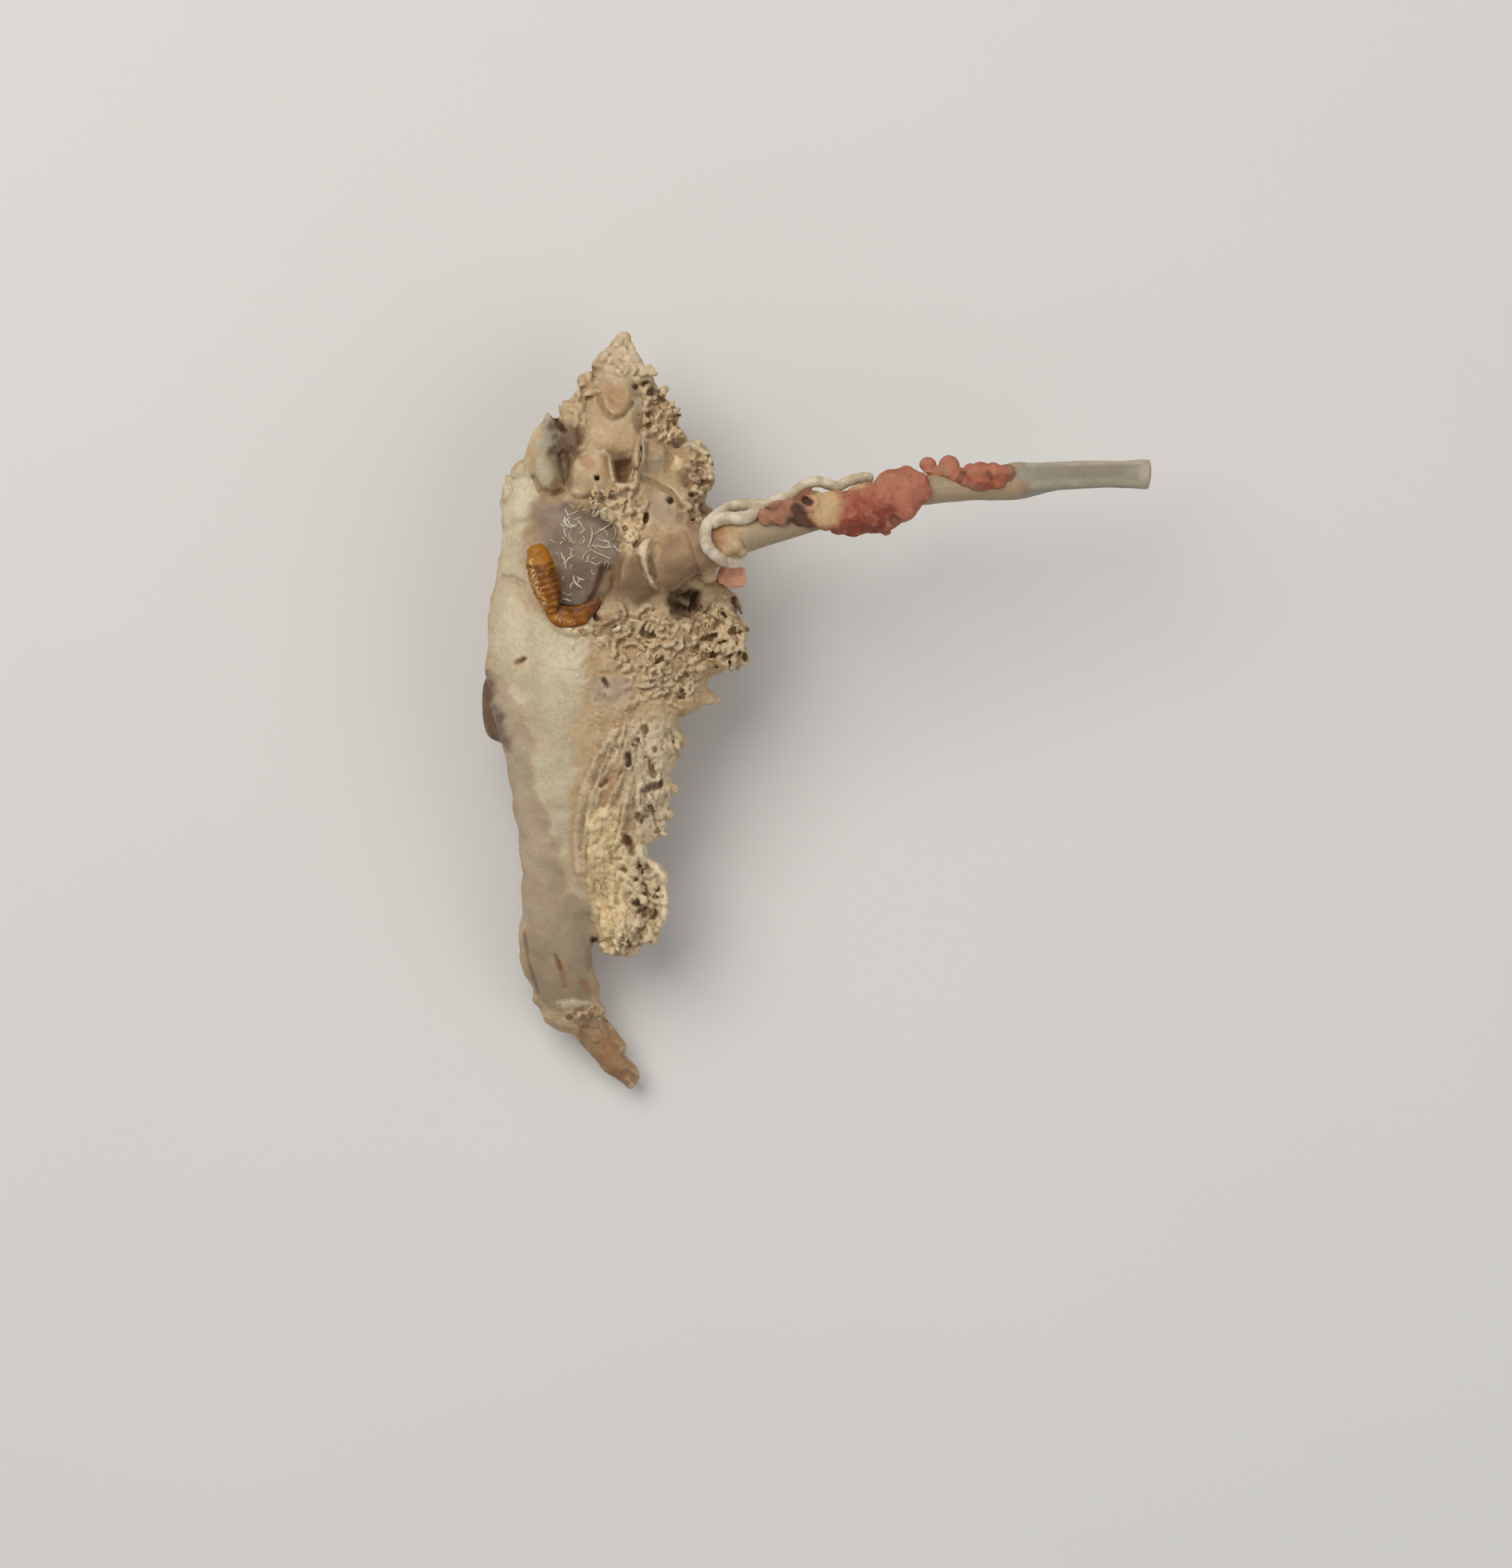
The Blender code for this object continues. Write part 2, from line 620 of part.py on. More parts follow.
def build_shell_mass(mesh):
    add_whorls(mesh)
    add_varices(mesh)
    add_back_keels(mesh)
    add_side_wing(mesh)
    add_spire_scales(mesh)
    add_front_body(mesh)
    add_loft(mesh, smooth_line(CANAL_LINE), sides=18)
    add_loft(mesh, smooth_line(OLD_CANAL_LINE), sides=16, flat=OLD_CANAL_FLATNESS)
    add_loft(mesh, smooth_line(CALLUS_LINE), sides=16)
    add_loft(mesh, smooth_line(TUBE_LINE), sides=16)
    for x, degrees, radius in TUBE_GRAINS:
        add_lump(mesh, on_tube(x, degrees, 0), (radius, radius, radius))
    centre, radius, _, top, front = tube_frame(TUBE_RIDGE_X)
    turns = [math.radians(20 * step) for step in range(19)]
    ring = [centre + (top * math.cos(turn) + front * math.sin(turn)) * radius for turn in turns]
    add_loft(mesh, [(point, TUBE_RIDGE_RADIUS) for point in ring], sides=6)


def build_mouth_cutter(mesh):
    add_lump(mesh, MOUTH_CENTRE, MOUTH_RADII, 8)
    for centre, radii, turn in HOLLOWS:
        add_lump(mesh, centre, radii, turn)


def build_bore_cutter(mesh):
    tip, _, along, _, _ = tube_frame(TUBE_LINE[-1][0])
    add_loft(mesh, [(tip - along * TUBE_BORE_DEPTH, TUBE_BORE), (tip + along * 0.5, TUBE_BORE)], sides=12)


def build_table_cutter(mesh):
    bmesh.ops.create_cube(
        mesh,
        size=1,
        matrix=Matrix.Translation((0, 0, -2 * MM)) @ Matrix.Diagonal((40 * MM, 40 * MM, 4 * MM, 1)),
    )


def lid_builder(grown=0.0):
    def build(mesh):
        add_loft(mesh, smooth_line(LID_LINE), sides=10, grown=grown)

    return build


def knob_builder(grown=0.0):
    def build(mesh):
        add_loft(mesh, smooth_line(KNOB_LINE), sides=8, grown=grown)

    return build


def build_tube_cutter(mesh):
    add_loft(mesh, smooth_line(TUBE_LINE), sides=16, grown=CRUST_GAP)


def lumps_builder(lumps):
    def build(mesh):
        for x, degrees, radius in lumps:
            add_lump(mesh, on_tube(x, degrees, radius * 0.25), (radius, radius * 0.95, radius))

    return build


def worm_builder(grown=0.0):
    def build(mesh):
        reach = WORM_RADIUS + GAP + WORM_SEAT
        line = between([on_tube(x, turn, reach + lift) for x, turn, lift in WORM_PATH], 2)
        tail = len(line) - 1
        tapering = [(point, WORM_RADIUS * (1 - WORM_TAPER * i / tail)) for i, point in enumerate(line)]
        add_loft(mesh, tapering, sides=8, grown=grown)

    return build


def build_all():
    clear_scene()
    lying = bpy.data.objects.new("lying_shell", None)
    lying.location = (LYING_X * MM, 0, 0)
    bpy.context.scene.collection.objects.link(lying)

    chalk = finish_material("chalky_shell", (0.62, 0.5, 0.36), 0.75)
    horn = finish_material("amber_horn", (0.42, 0.2, 0.04), 0.4)
    white = finish_material("white_chalk", (0.78, 0.74, 0.64), 0.6)
    pink = finish_material("pink_crust", (0.75, 0.28, 0.22), 0.8)

    mouth = as_cutter(mesh_object("mouth_cutter", build_mouth_cutter))
    bore = as_cutter(mesh_object("bore_cutter", build_bore_cutter))
    table = as_cutter(mesh_object("table_cutter", build_table_cutter))
    lid_seat = as_cutter(mesh_object("lid_seat_cutter", lid_builder(GAP)))
    knob_seat = as_cutter(mesh_object("knob_seat_cutter", knob_builder(GAP)))
    worm_seat = as_cutter(mesh_object("worm_seat_cutter", worm_builder(GAP)))
    tube_seat = as_cutter(mesh_object("tube_seat_cutter", build_tube_cutter))

    shell = mesh_object("shell", build_shell_mass, chalk)
    fuse(shell, FUSE_VOXEL, 4, WEAR_DEPTH)
    thin_out(shell, SHELL_FACES)
    for cutter in (mouth, lid_seat, knob_seat, worm_seat, bore, table):
        cut(shell, cutter, "MANIFOLD")

    mesh_object("operculum", lid_builder(), horn)
    mesh_object("pink_knob", knob_builder(), pink)
    mesh_object("worm_tube", worm_builder(), white)
    for name, lumps in (("pink_crust", PINK_LUMPS), ("outer_crust", OUTER_LUMPS)):
        crust = mesh_object(name, lumps_builder(lumps), pink)
        fuse(crust, CRUST_VOXEL, 2, CRUST_WEAR)
        cut(crust, tube_seat)
        thin_out(crust, CRUST_FACES)


build_all()
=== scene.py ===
"""A small murex shell with a long anal tube, lying on its back with its mouth up.

Every form is worked on the bench: in millimetres about the shell's own axis, with x across, y up the
spire and z up from the table. It is carried to metres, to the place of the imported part, when it is done.
What is drawn from above is given in squares of a drawing sheet, forty squares to the millimetre, with
its corner at the top left, as the camera sees it.
"""

import math
import random
from functools import partial

import bmesh
import bpy
import numpy as np
from mathutils import Euler, Matrix, Vector
from mathutils.bvhtree import BVHTree


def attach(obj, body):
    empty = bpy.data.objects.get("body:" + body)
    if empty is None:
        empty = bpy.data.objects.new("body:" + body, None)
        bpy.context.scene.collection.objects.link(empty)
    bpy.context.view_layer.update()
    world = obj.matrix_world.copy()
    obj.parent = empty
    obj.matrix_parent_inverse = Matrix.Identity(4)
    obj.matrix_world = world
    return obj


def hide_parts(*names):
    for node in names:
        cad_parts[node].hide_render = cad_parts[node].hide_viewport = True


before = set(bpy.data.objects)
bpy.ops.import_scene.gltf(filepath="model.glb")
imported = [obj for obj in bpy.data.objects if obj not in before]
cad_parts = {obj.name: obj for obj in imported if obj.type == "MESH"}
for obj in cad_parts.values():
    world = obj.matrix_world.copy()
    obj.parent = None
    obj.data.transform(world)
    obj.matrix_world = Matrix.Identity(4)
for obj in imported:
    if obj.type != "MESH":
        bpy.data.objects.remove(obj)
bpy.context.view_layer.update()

SQUARES = 40.0
SHEET_AXIS = (780.0, 886.0)
EYE = (4.14, -2.34)
EYE_HEIGHT = 141.11
TRUE_LEVEL = 5.0
AXIS_SHIFT = 6.03
TO_METRES = Matrix.Scale(0.001, 4) @ Matrix.Translation((-AXIS_SHIFT, 0, 0))
TO_BENCH = TO_METRES.inverted()

SHELL_GRAIN = 0.064
SHELL_FACES = 192000

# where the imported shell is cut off, in x for its tube and in y for its apex
TUBE_CUT = 4.4
APEX_CUT = 11.45
SLIT = (692, 506)
MOUTH_HEIGHT = 6.2
MOUTH_CORNER = (690, 640)
MOUTH_SLOPE = (0.001, 0.0016)
# the first ring of the operculum and the step between rings, in millimetres along the limb
FIRST_RING = 0.72
RING_STEP = 0.19


# ---------------------------------------------------------------- the drawing sheet


def place(across, down, height):
    """The point on the bench at that height which is seen at a place on the sheet."""
    x, y = (across - SHEET_AXIS[0]) / SQUARES, (SHEET_AXIS[1] - down) / SQUARES
    nearer = 1 - (height - TRUE_LEVEL) / (EYE_HEIGHT - TRUE_LEVEL)
    return Vector((EYE[0] + (x - EYE[0]) * nearer, EYE[1] + (y - EYE[1]) * nearer, height))


def on_sheet(points):
    """Where points on the bench are seen on the sheet."""
    nearer = 1 - (points[:, 2] - TRUE_LEVEL) / (EYE_HEIGHT - TRUE_LEVEL)
    x = EYE[0] + (points[:, 0] - EYE[0]) / nearer
    y = EYE[1] + (points[:, 1] - EYE[1]) / nearer
    return np.stack([SHEET_AXIS[0] + x * SQUARES, SHEET_AXIS[1] - y * SQUARES], 1)


def eased(share):
    share = np.clip(share, 0, 1)
    return share * share * (3 - 2 * share)


def along_line(seen, line, radius, soft):
    """How much a brush of that radius, drawn along a line on the sheet, covers each point."""
    line = np.array(line, float)
    if line.shape[1] == 2:
        line = np.column_stack([line, np.ones(len(line))])
    cover = np.zeros(len(seen))
    reach = radius * line[:, 2].max() + soft
    near = np.where(((seen > line[:, :2].min(0) - reach) & (seen < line[:, :2].max(0) + reach)).all(1))[0]
    spots = seen[near]
    best = np.zeros(len(near))
    ends = zip(line[:-1], line[1:]) if len(line) > 1 else [(line[0], line[0])]
    for start, end in ends:
        run = end[:2] - start[:2]
        share = np.clip((spots - start[:2]) @ run / max(run @ run, 1e-9), 0, 1)
        away = np.linalg.norm(spots - start[:2] - share[:, None] * run, axis=1)
        wide = radius * (start[2] + (end[2] - start[2]) * share)
        best = np.maximum(best, eased((wide + soft - away) / soft))
    cover[near] = best
    return cover


def in_outline(seen, outline, soft):
    """How much of a filled outline on the sheet covers each point: half on the outline itself."""
    outline = np.array(outline, float)
    cover = np.zeros(len(seen))
    near = np.where(((seen > outline.min(0) - soft) & (seen < outline.max(0) + soft)).all(1))[0]
    spots = seen[near]
    inside = np.zeros(len(near), bool)
    away = np.full(len(near), 1e9)
    for start, end in zip(outline, np.roll(outline, -1, 0)):
        run = end - start
        share = np.clip((spots - start) @ run / max(run @ run, 1e-9), 0, 1)
        away = np.minimum(away, np.linalg.norm(spots - start - share[:, None] * run, axis=1))
        if start[1] != end[1]:
            crosses = (spots[:, 1] > start[1]) != (spots[:, 1] > end[1])
            at = start[0] + (spots[:, 1] - start[1]) * run[0] / run[1]
            inside ^= crosses & (spots[:, 0] < at)
    cover[near] = eased(0.5 + np.where(inside, away, -away) / (2 * soft))
    return cover


def wavered(seen):
    """Places on the sheet moved by slow waves, so that an edge drawn straight comes out uneven."""
    x, y = seen[:, 0], seen[:, 1]
    aside = 2.8 * np.sin(y * 0.16 + 1.2 * np.sin(x * 0.07)) + 1.5 * np.sin(y * 0.37 + x * 0.21)
    along = 2.8 * np.sin(x * 0.15 + 1.4 * np.sin(y * 0.06) + 2) + 1.5 * np.sin(x * 0.35 - y * 0.24 + 1)
    return seen + np.stack([aside, along], 1)


# ---------------------------------------------------------------- work by hand


def empty_hand():
    """Leaves edit mode with nothing selected."""
    if bpy.context.mode != "OBJECT":
        bpy.ops.object.mode_set(mode="OBJECT")
    bpy.ops.object.select_all(action="DESELECT")


def take_all():
    """Enters edit mode with everything selected."""
    bpy.ops.object.mode_set(mode="EDIT")
    bpy.ops.mesh.select_all(action="SELECT")


def pick(obj):
    empty_hand()
    obj.select_set(True)
    bpy.context.view_layer.objects.active = obj
    return obj


def finish_with(obj, kind, **settings):
    """Adds a modifier and applies it."""
    pick(obj)
    modifier = obj.modifiers.new(kind.title(), kind)
    for name, value in settings.items():
        setattr(modifier, name, value)
    bpy.ops.object.modifier_apply(modifier=modifier.name)
    return obj


def join(pieces, name):
    pick(pieces[0])
    for piece in pieces:
        piece.select_set(True)
    if len(pieces) > 1:
        bpy.ops.object.join()
    pieces[0].name = pieces[0].data.name = name
    return pieces[0]


def from_node(node, name):
    """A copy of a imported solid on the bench, with its loose triangles merged."""
    obj = bpy.data.objects.new(name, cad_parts[node].data.copy())
    bpy.context.scene.collection.objects.link(obj)
    obj.data.name = name
    obj.data.materials.clear()
    pick(obj)
    take_all()
    bpy.ops.mesh.remove_doubles(threshold=1e-8)
    bpy.ops.object.mode_set(mode="OBJECT")
    obj.data.transform(TO_BENCH)
    return obj


def put_down(obj, name):
    """Leaves edit mode, sets the object at the origin and names it."""
    bpy.ops.object.mode_set(mode="OBJECT")
    bpy.ops.object.transform_apply(location=True, rotation=True, scale=True)
    obj.name = obj.data.name = name
    return obj


def turn_selection(turn, centre):
    """Turns what is selected by a rotation matrix about a point."""
    for axis, angle in zip("XYZ", turn.to_euler("XYZ")):
        if abs(angle) > 1e-5:
            bpy.ops.transform.rotate(value=-angle, orient_axis=axis, orient_type="GLOBAL", center_override=centre)


def drawn_out(name, stations, sides=10, squash=1.0, bore=None):
    """A rod drawn out ring by ring along stations of (x, y, z, radius), closed at both ends.

    squash flattens it front to back. bore is a (radius share, depth in stations) for an open far end.
    """
    points = [Vector(station[:3]) for station in stations]
    ways = [(points[min(i + 1, len(points) - 1)] - points[max(i - 1, 0)]).normalized() for i in range(len(points))]
    empty_hand()
    bpy.ops.mesh.primitive_circle_add(vertices=sides, radius=stations[0][3], fill_type="NGON", location=points[0])
    obj = bpy.context.object
    take_all()
    if squash != 1.0:
        bpy.ops.transform.resize(value=(1, squash, 1), center_override=points[0])
    way = Vector((0, 0, 1))
    for i, (point, new_way) in enumerate(zip(points, ways)):
        if i:
            bpy.ops.mesh.extrude_region_move(TRANSFORM_OT_translate={"value": point - points[i - 1]})
            scale = stations[i][3] / stations[i - 1][3]
            bpy.ops.transform.resize(value=(scale,) * 3, center_override=point)
        if i == 0 and squash != 1.0:
            flat_side = new_way.cross(Vector((0, 0, 1))).normalized()
            turn = Matrix((flat_side, new_way.cross(flat_side), new_way)).transposed()
        else:
            turn = way.rotation_difference(new_way).to_matrix()
        turn_selection(turn, point)
        way = new_way
    if bore:
        share, depth = bore
        bpy.ops.mesh.inset(thickness=stations[-1][3] * (1 - share), depth=0)
        for i in range(len(points) - 1, len(points) - 1 - depth, -1):
            bpy.ops.mesh.extrude_region_move(TRANSFORM_OT_translate={"value": points[i - 1] - points[i]})
            turn_selection(ways[i].rotation_difference(ways[i - 1]).to_matrix(), points[i - 1])
            scale = stations[i - 1][3] / stations[i][3]
            bpy.ops.transform.resize(value=(scale,) * 3, center_override=points[i - 1])
    bpy.ops.mesh.select_all(action="SELECT")
    bpy.ops.mesh.fill_holes(sides=0)
    bpy.ops.mesh.normals_make_consistent(inside=False)
    return put_down(obj, name)


def lump(name, centre, radii, tilt=(0, 0, 0), cuts=2):
    """A rounded lump, from an icosphere drawn out and turned about its centre."""
    empty_hand()
    bpy.ops.mesh.primitive_ico_sphere_add(subdivisions=cuts, radius=1, location=centre)
    obj = bpy.context.object
    take_all()
    bpy.ops.transform.resize(value=radii, center_override=centre)
    turn_selection(Euler([math.radians(angle) for angle in tilt]).to_matrix(), centre)
    return put_down(obj, name)


def clouds(size, depth=2, kind="CLOUDS", **settings):
    texture = bpy.data.textures.new("relief", kind)
    texture.noise_scale = size
    if kind == "CLOUDS":
        texture.noise_depth = depth
    for name, value in settings.items():
        setattr(texture, name, value)
    return texture


def roughen(obj, size, depth, strength, level=0.5, group=""):
    """Raises and sinks a skin by clouds of that size, as strong as that in millimetres."""
    finish_with(obj, "DISPLACE", texture=clouds(size, depth), strength=strength, mid_level=level, vertex_group=group)


def reskin(obj, grain, smoothing):
    """Gives joined pieces one skin with cells of that size, smoothed that many times."""
    finish_with(obj, "REMESH", mode="VOXEL", voxel_size=grain)
    finish_with(obj, "SMOOTH", factor=0.5, iterations=smoothing)


class Clay:
    """A mesh under the hand: its points, where they are seen, and which of them face up."""

    def __init__(self, obj):
        self.obj = obj
        self.read()

    def read(self):
        mesh = self.obj.data
        self.count = len(mesh.vertices)
        points = np.empty(self.count * 3, np.float32)
        mesh.vertices.foreach_get("co", points)
        self.points = points.reshape(-1, 3).astype(float)
        normals = np.empty(self.count * 3, np.float32)
        mesh.vertex_normals.foreach_get("vector", normals)
        self.normals = normals.reshape(-1, 3).astype(float)
        edges = np.empty(len(mesh.edges) * 2, np.int32)
        mesh.edges.foreach_get("vertices", edges)
        self.edges = edges.reshape(-1, 2)
        self.up = eased(self.normals[:, 2] * 1.8 + 0.35)
        self.seen = on_sheet(self.points)
        self.wavy = wavered(self.seen)

    def write(self):
        self.obj.data.vertices.foreach_set("co", self.points.astype(np.float32).ravel())
        self.obj.data.update()
        self.read()

    def line(self, line, radius, soft):
        return along_line(self.seen, line, radius, soft) * self.up

    def area(self, outline, soft):
        return in_outline(self.seen, outline, soft) * self.up

    def level(self, cover, height):
        self.points[:, 2] += cover * (height - self.points[:, 2])

    def raise_up(self, cover, height):
        self.points[:, 2] += cover * height

    def averaged(self, values, rounds):
        """Values smoothed over the mesh, each point with its neighbours."""
        a, b = self.edges[:, 0], self.edges[:, 1]
        flat = values.reshape(self.count, -1)
        count = np.bincount(a, minlength=self.count) + np.bincount(b, minlength=self.count) + 1.0
        for _ in range(rounds):
            total = flat.copy()
            for k in range(flat.shape[1]):
                total[:, k] += np.bincount(a, flat[b, k], self.count) + np.bincount(b, flat[a, k], self.count)
            flat = total / count[:, None]
        return flat.reshape(values.shape)

    def sunk(self, rounds):
        """How far each point lies below the mesh smoothed over that many rounds."""
        return ((self.averaged(self.points, rounds) - self.points) * self.normals).sum(1)

    def group(self, name, weights):
        """A vertex group with those weights, in sixteen steps."""
        group = self.obj.vertex_groups.new(name=name)
        steps = np.round(np.clip(weights, 0, 1) * 16).astype(int)
        for step in range(1, 17):
            group.add(np.where(steps == step)[0].tolist(), step / 16, "REPLACE")
        return group.name

    def attribute(self, name, values):
        layer = self.obj.data.attributes.new(name, "FLOAT", "POINT")
        layer.data.foreach_set("value", np.ascontiguousarray(values, np.float32))


# ---------------------------------------------------------------- finishes


class Value:
    """A value on its way through a finish, so that sums on it are written out in Python."""

    def __init__(self, finish, socket):
        self.finish, self.socket = finish, socket

    def sum(self, operation, first, second=None):
        sockets = {0: first} if second is None else {0: first, 1: second}
        return self.finish.node("ShaderNodeMath", {"operation": operation}, sockets)

    def __add__(self, other):
        return self.sum("ADD", self, other)

    def __radd__(self, other):
        return self.sum("ADD", other, self)

    def __sub__(self, other):
        return self.sum("SUBTRACT", self, other)

    def __rsub__(self, other):
        return self.sum("SUBTRACT", other, self)

    def __mul__(self, other):
        return self.sum("MULTIPLY", self, other)

    def __rmul__(self, other):
        return self.sum("MULTIPLY", other, self)

    def at_most(self, other):
        return self.sum("MINIMUM", self, other)


class Finish:
    """A material built from nodes, in metres on the object's own coordinates."""

    def __init__(self, name, **shader_values):
        self.material = bpy.data.materials.new(name)
        self.material.use_nodes = True
        self.tree = self.material.node_tree
        self.shader = next(n for n in self.tree.nodes if n.type == "BSDF_PRINCIPLED")
        for socket, value in shader_values.items():
            self.shader.inputs[socket.replace("_", " ")].default_value = value
        self.where = self.node("ShaderNodeTexCoord", {}, {}, "Object")

    def node(self, kind, settings=None, sockets=None, out=0):
        made = self.tree.nodes.new(kind)
        for name, value in (settings or {}).items():
            setattr(made, name, value)
        for name, value in (sockets or {}).items():
            if isinstance(value, Value):
                self.tree.links.new(value.socket, made.inputs[name])
            else:
                made.inputs[name].default_value = value
        return Value(self, made.outputs[out])

    def grain(self, size_mm, detail=3.0, rough=0.55, warp=0.0, where=None):
        """Cloudy variation round 0.5 with blotches of that size."""
        return self.node(
            "ShaderNodeTexNoise",
            {"noise_dimensions": "3D"},
            {"Vector": where or self.where, "Scale": 1000 / size_mm, "Detail": detail, "Roughness": rough,
                "Distortion": warp},
        )

    def mask(self, name):
        return self.node("ShaderNodeAttribute", {"attribute_name": name}, {}, "Fac")

    def between(self, value, low, high):
        """0 below low and 1 above high, eased between them."""
        return self.node(
            "ShaderNodeMapRange", {"interpolation_type": "SMOOTHSTEP"},
                {"Value": value, "From Min": low, "From Max": high}
        )

    def mix(self, share, first, second):
        """A colour from first to second by that share."""
        made = self.tree.nodes.new("ShaderNodeMix")
        made.data_type = "RGBA"
        for index, value in ((0, share), (6, first), (7, second)):
            if isinstance(value, Value):
                self.tree.links.new(value.socket, made.inputs[index])
            else:
                made.inputs[index].default_value = value
        return Value(self, made.outputs[2])

    def lay(self, share, colour):
        """Lays a colour over the finish's own by that share."""
        self.colour = self.mix(share, self.colour, colour)

    def give(self, socket, value):
        self.tree.links.new(value.socket, self.shader.inputs[socket])

    def bump(self, height, depth_mm, strength=1.0):
        self.give(
            "Normal", self.node("ShaderNodeBump", {},
                {"Height": height, "Distance": depth_mm / 1000, "Strength": strength})
        )


def tone(red, green, blue):
    """A colour as a paint chart gives it, from 0 to 255, made linear."""
    return tuple((c / 255 / 12.92 if c / 255 <= 0.04045 else ((c / 255 + 0.055) / 1.055) ** 2.4) for c in (red,
        green, blue)) + (1.0,)


# ---------------------------------------------------------------- the shell's forms

# the anal tube's middle line: x, y, z and radius
TUBE_RUN = [
    (2.2, 4.9, 6.42, 0.86), (3.0, 5.18, 6.45, 0.74), (3.6, 5.35, 6.47, 0.64), (4.25, 5.53, 6.5, 0.57),
    (5.0, 5.72, 6.51, 0.53), (6.0, 5.99, 6.49, 0.5), (7.0, 6.26, 6.45, 0.48), (8.0, 6.5, 6.41, 0.47),
    (9.0, 6.71, 6.36, 0.46), (10.0, 6.84, 6.3, 0.45), (10.9, 6.9, 6.22, 0.45), (11.6, 6.96, 6.16, 0.5),
    (12.15, 7.03, 6.1, 0.58), (12.45, 7.07, 6.07, 0.57), (12.67, 7.1, 6.05, 0.53), (13.1, 7.18, 6.02, 0.48),
    (13.51, 7.23, 6.0, 0.45), (14.2, 7.25, 5.96, 0.43), (15.0, 7.26, 5.9, 0.425), (15.7, 7.26, 5.85, 0.43),
    (16.05, 7.26, 5.83, 0.45), (16.33, 7.26, 5.81, 0.46),
]


# each: root and tip on the sheet, height at root and tip, half-width at root in squares
SPINES = [
    ((804, 461), (821, 467), 4.1, 4.2, 8), ((812, 457), (817, 462), 4.1, 4.2, 4), ((822, 498), (834, 484), 4.3, 4.4, 8),
    ((836, 508), (848, 504), 4.4, 4.4, 8), ((838, 520), (850, 520), 4.4, 4.4, 7), ((845, 540), (857, 546), 4.6, 4.6, 9),
    ((862, 560), (880, 549), 4.9, 5.0, 10), ((752, 446), (741, 460), 4.1, 4.0, 8), ((708, 520), (699, 505),
        4.3, 4.3, 8),
    ((716, 508), (703, 500), 4.5, 4.5, 9), ((690, 548), (685, 518), 4.7, 4.7, 9), ((672, 572), (664, 562), 4.7, 4.6, 8),
    ((640, 602), (632, 594), 4.6, 4.5, 7), ((636, 640), (627, 626), 4.8, 4.7, 8),
    ((908, 776), (922, 748), 4.6, 4.8, 9), ((922, 748), (928, 768), 4.8, 4.5, 4), ((924, 790), (938, 787), 4.6, 4.6, 9),
    ((924, 812), (937, 827), 4.5, 4.4, 11), ((908, 826), (924, 834), 4.5, 4.4, 9), ((868, 868), (901, 875),
        4.3, 4.2, 13),
    ((862, 880), (874, 887), 4.2, 4.1, 8), ((834, 920), (857, 929), 4.2, 4.1, 16), ((832, 946), (851, 944),
        4.1, 4.0, 12),
    ((824, 982), (847, 987), 4.1, 4.0, 16), ((818, 1011), (841, 1018), 4.0, 3.9, 15), ((816, 1030), (832, 1031),
        3.9, 3.8, 9),
    ((812, 1038), (833, 1043), 3.8, 3.8, 12), ((800, 1052), (816, 1057), 3.7, 3.6, 8),
]

